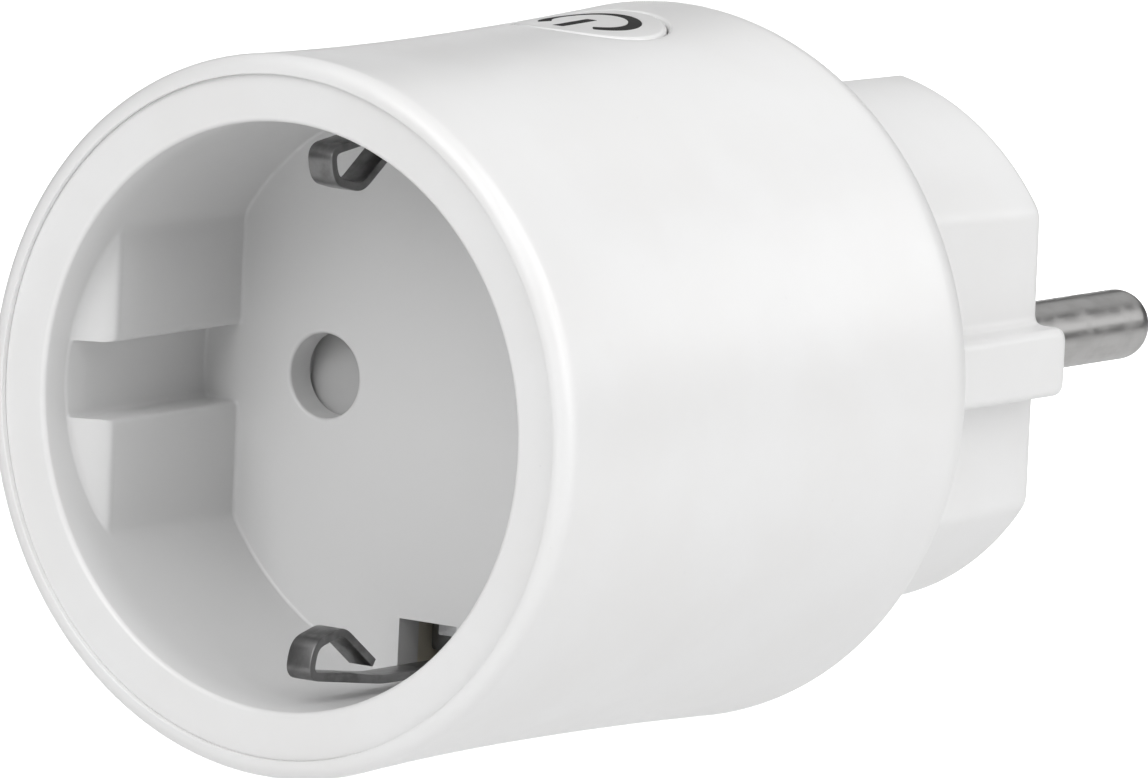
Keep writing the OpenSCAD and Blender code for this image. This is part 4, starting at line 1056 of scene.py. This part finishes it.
def inside_points(loops, spacing=0.55, margin=0.25):
    """Even points inside the loops, so that a filled area can follow a curved top."""
    every = np.vstack(loops)
    x, y = np.meshgrid(np.arange(every[:, 0].min(), every[:, 0].max(), spacing),
                       np.arange(every[:, 1].min(), every[:, 1].max(), spacing))
    points = np.c_[x.ravel() + 0.013, y.ravel() + 0.017]
    points = points[inside(points, loops)]
    near = np.min(np.linalg.norm(points[:, None] - every[None], axis=2), axis=1)
    return points[near > margin]


def power_button(material):
    """The cap: a top that follows the body, a rounded rim, the symbol's pocket and a holding ring."""
    shell = Shell()
    n = 128
    centre = (0.0, BUTTON_Y)
    symbol = symbol_loops()
    top_loop = ring_loop(BUTTON_R - CAP_EDGE - 0.08, n, centre)
    shell.flat([top_loop] + symbol, lambda p: np.c_[p, body_top(p)], inside_points([top_loop] + symbol))
    depth = SYMBOL_DEPTH + SYMBOL_PLAY
    for loop in symbol:
        shell.rings(np.c_[loop, body_top(loop)], np.c_[loop, body_top(loop) - depth])
        shell.flat([loop], lambda p: np.c_[p, body_top(p) - depth], inside_points([loop]))
    rings = [np.c_[top_loop, body_top(top_loop)]]
    for inward, along in edge_steps(CAP_EDGE, 6):
        loop = ring_loop(BUTTON_R - CAP_EDGE + along, n, centre)
        rings.append(np.c_[loop, body_top(loop) - inward])
    ledge_z = CAP_BASE_Z + CAP_RING_T
    skin_z = float(body_r(BUTTON_Y)) - CAP_SKIN
    inner_r = BUTTON_R - CAP_WALL
    for r, z in ((BUTTON_R, ledge_z), (CAP_RING_R - 0.1, ledge_z), (CAP_RING_R, ledge_z - 0.1),
                 (CAP_RING_R, CAP_BASE_Z), (inner_r, CAP_BASE_Z), (inner_r, skin_z), (CAP_STEM_R, skin_z),
                 (CAP_STEM_R, CAP_BASE_Z)):
        rings.append(at_z(ring_loop(r, n, centre), z))
    shell.rings(*rings)
    shell.flat([rings[-1][:, :2]], lambda p: at_z(p, CAP_BASE_Z))
    return shell.build("power_button_cap", material, "button", ["power_button"])


def power_symbol(material):
    """The inlay: both shapes follow the body just under its surface, and go down into the cap's pocket."""
    shell = Shell()
    for outline in symbol_loops():
        loop = outline + inward_normals(outline) * SYMBOL_PLAY
        top, bottom = SYMBOL_SINK, SYMBOL_DEPTH
        for sink in (top, bottom):
            shell.flat([loop], lambda p: np.c_[p, body_top(p) - sink], inside_points([loop]))
        shell.rings(*[np.c_[loop, body_top(loop) - sink] for sink in (top, bottom)])
    return shell.build("power_symbol_inlay", material, "button", ["power_symbol"])


# ---- Camera, lights, floor ----

AIM = Vector((0.0, -0.03, 0.0))


def camera():
    """A long lens from the front right and a little above, turned a little about its own axis."""
    az, el, roll = math.radians(36.224), math.radians(8.36), math.radians(2.529)
    distance, to_left, down = 1.5279, 0.0012745, 0.001291
    back = direction(az, el)
    level = Vector((math.cos(az), math.sin(az), 0.0))
    upright = back.cross(level)
    right = level * math.cos(roll) + upright * math.sin(roll)
    up = upright * math.cos(roll) - level * math.sin(roll)
    data = bpy.data.cameras.new("camera")
    data.lens = 716.0
    data.sensor_width = 36.0
    data.clip_start, data.clip_end = 0.05, 50.0
    made = bpy.data.objects.new("camera", data)
    made.matrix_world = Matrix((right, up, back)).transposed().to_4x4()
    made.matrix_world.translation = AIM + back * distance - right * to_left - up * down
    bpy.context.scene.collection.objects.link(made)
    bpy.context.scene.camera = made


def direction(az, el):
    """Unit vector at an azimuth from -Y towards +X and an elevation, in radians."""
    return Vector((math.sin(az) * math.cos(el), -math.cos(az) * math.cos(el), math.sin(el)))


def soft_light(name, place, aim, size, power):
    """A square soft box that faces its aim."""
    data = bpy.data.lights.new(name, "AREA")
    data.shape = "SQUARE"
    data.size = size
    data.energy = power
    made = bpy.data.objects.new(name, data)
    made.location = place
    made.rotation_mode = "QUATERNION"
    made.rotation_quaternion = (aim - place).to_track_quat("-Z", "Y")
    bpy.context.scene.collection.objects.link(made)


def pale_floor():
    """A wide pale floor below the object, which also stands for the background."""
    half, z = 6.0, -0.16
    mesh = bpy.data.meshes.new("floor")
    corners = [(-half, -half, z), (half, -half, z), (half, half, z), (-half, half, z)]
    mesh.from_pydata(corners, [], [(0, 1, 2, 3)])
    floor = bpy.data.objects.new("floor", mesh)
    bpy.context.scene.collection.objects.link(floor)
    pale = bpy.data.materials.new("floor_pale")
    pale.use_nodes = True
    shader = pale.node_tree.nodes["Principled BSDF"]
    shader.inputs["Base Color"].default_value = (0.93, 0.93, 0.93, 1)
    shader.inputs["Roughness"].default_value = 0.9
    mesh.materials.append(pale)


def studio():
    """The floor, dim surroundings, soft boxes all round the object and one over the floor behind it."""
    pale_floor()
    world = bpy.data.worlds.new("studio")
    world.use_nodes = True
    sky = world.node_tree.nodes["Background"]
    sky.inputs["Color"].default_value = (1.0, 1.0, 1.0, 1)
    sky.inputs["Strength"].default_value = 0.08
    bpy.context.scene.world = world
    # Each box: azimuth and elevation in degrees, and its power
    boxes = {"right": (80, 18, 4.0), "rear_right": (130, 25, 3.7), "over_camera": (36, 50, 1.9),
             "high_right": (100, 55, 4.4), "front_high": (0, 35, 6.3), "high_left": (-35, 60, 1.7),
             "rear_left": (-110, 40, 0.8), "front": (0, 8, 1.4), "front_left": (-20, 15, 0.3),
             "rear_high": (190, 38, 0.9)}
    for name, (az, el, power) in boxes.items():
        way = direction(math.radians(az), math.radians(el))
        soft_light(name, AIM + way * 1.2, AIM, 0.7, power)
    soft_light("backdrop", Vector((-0.68, 0.93, 0.1)), Vector((-0.68, 0.93, 0.0)), 0.6, 3.2)
    bpy.context.scene.view_settings.view_transform = "Standard"


# ---- The object ----

camera()
studio()
finish = all_finishes()
white = finish["white_plastic"]
outer_sleeve(white)
socket_insert(white)
plug_base(white)
snap_arms(white)
for name, side in (("plug_pin_left", -1), ("plug_pin_right", 1)):
    plug_pin(name, side, finish["pin_nickel"])
for name, flip in (("earth_clip_top", 1.0), ("earth_clip_bottom", -1.0)):
    earth_clip(name, flip, finish["spring_steel"])
power_button(white)
power_symbol(finish["symbol_ink"])
for name, flip in (("earth_rail_top", 1.0), ("earth_rail_bottom", -1.0)):
    earth_rail(name, flip, finish["zinc_steel"])
earth_bridge(finish["zinc_steel"])

# Radius of the broken edges of each inner part
EDGES = {"shutter": 0.12, "relay": 0.25, "film_capacitor": 0.45, "rectifier": 0.12, "regulator": 0.12,
         "switch_body": 0.1, "wifi_shield": 0.06, "bridge_rivets": 0.12, "carrier_screws": 0.06,
         "main_board_screws": 0.1, "button_board_screws": 0.1, "status_led": 0.08, "varistor": 0.6,
         "switch_plunger": 0.12, "electrolytic_capacitors": 0.1, "fuse_resistor": 0.1,
         "inductor_core": 0.12, "contact_left": 0.06, "contact_right": 0.06}
for subpart in frame["record"]["subparts"]:
    name, slot = subpart["node"], subpart["material_slot"]
    node = frame["nodes"][name]
    node.data.materials.clear()
    node.data.materials.append(finish[slot])
    if name in EDGES:
        edged(name, finish[slot], EDGES[name])
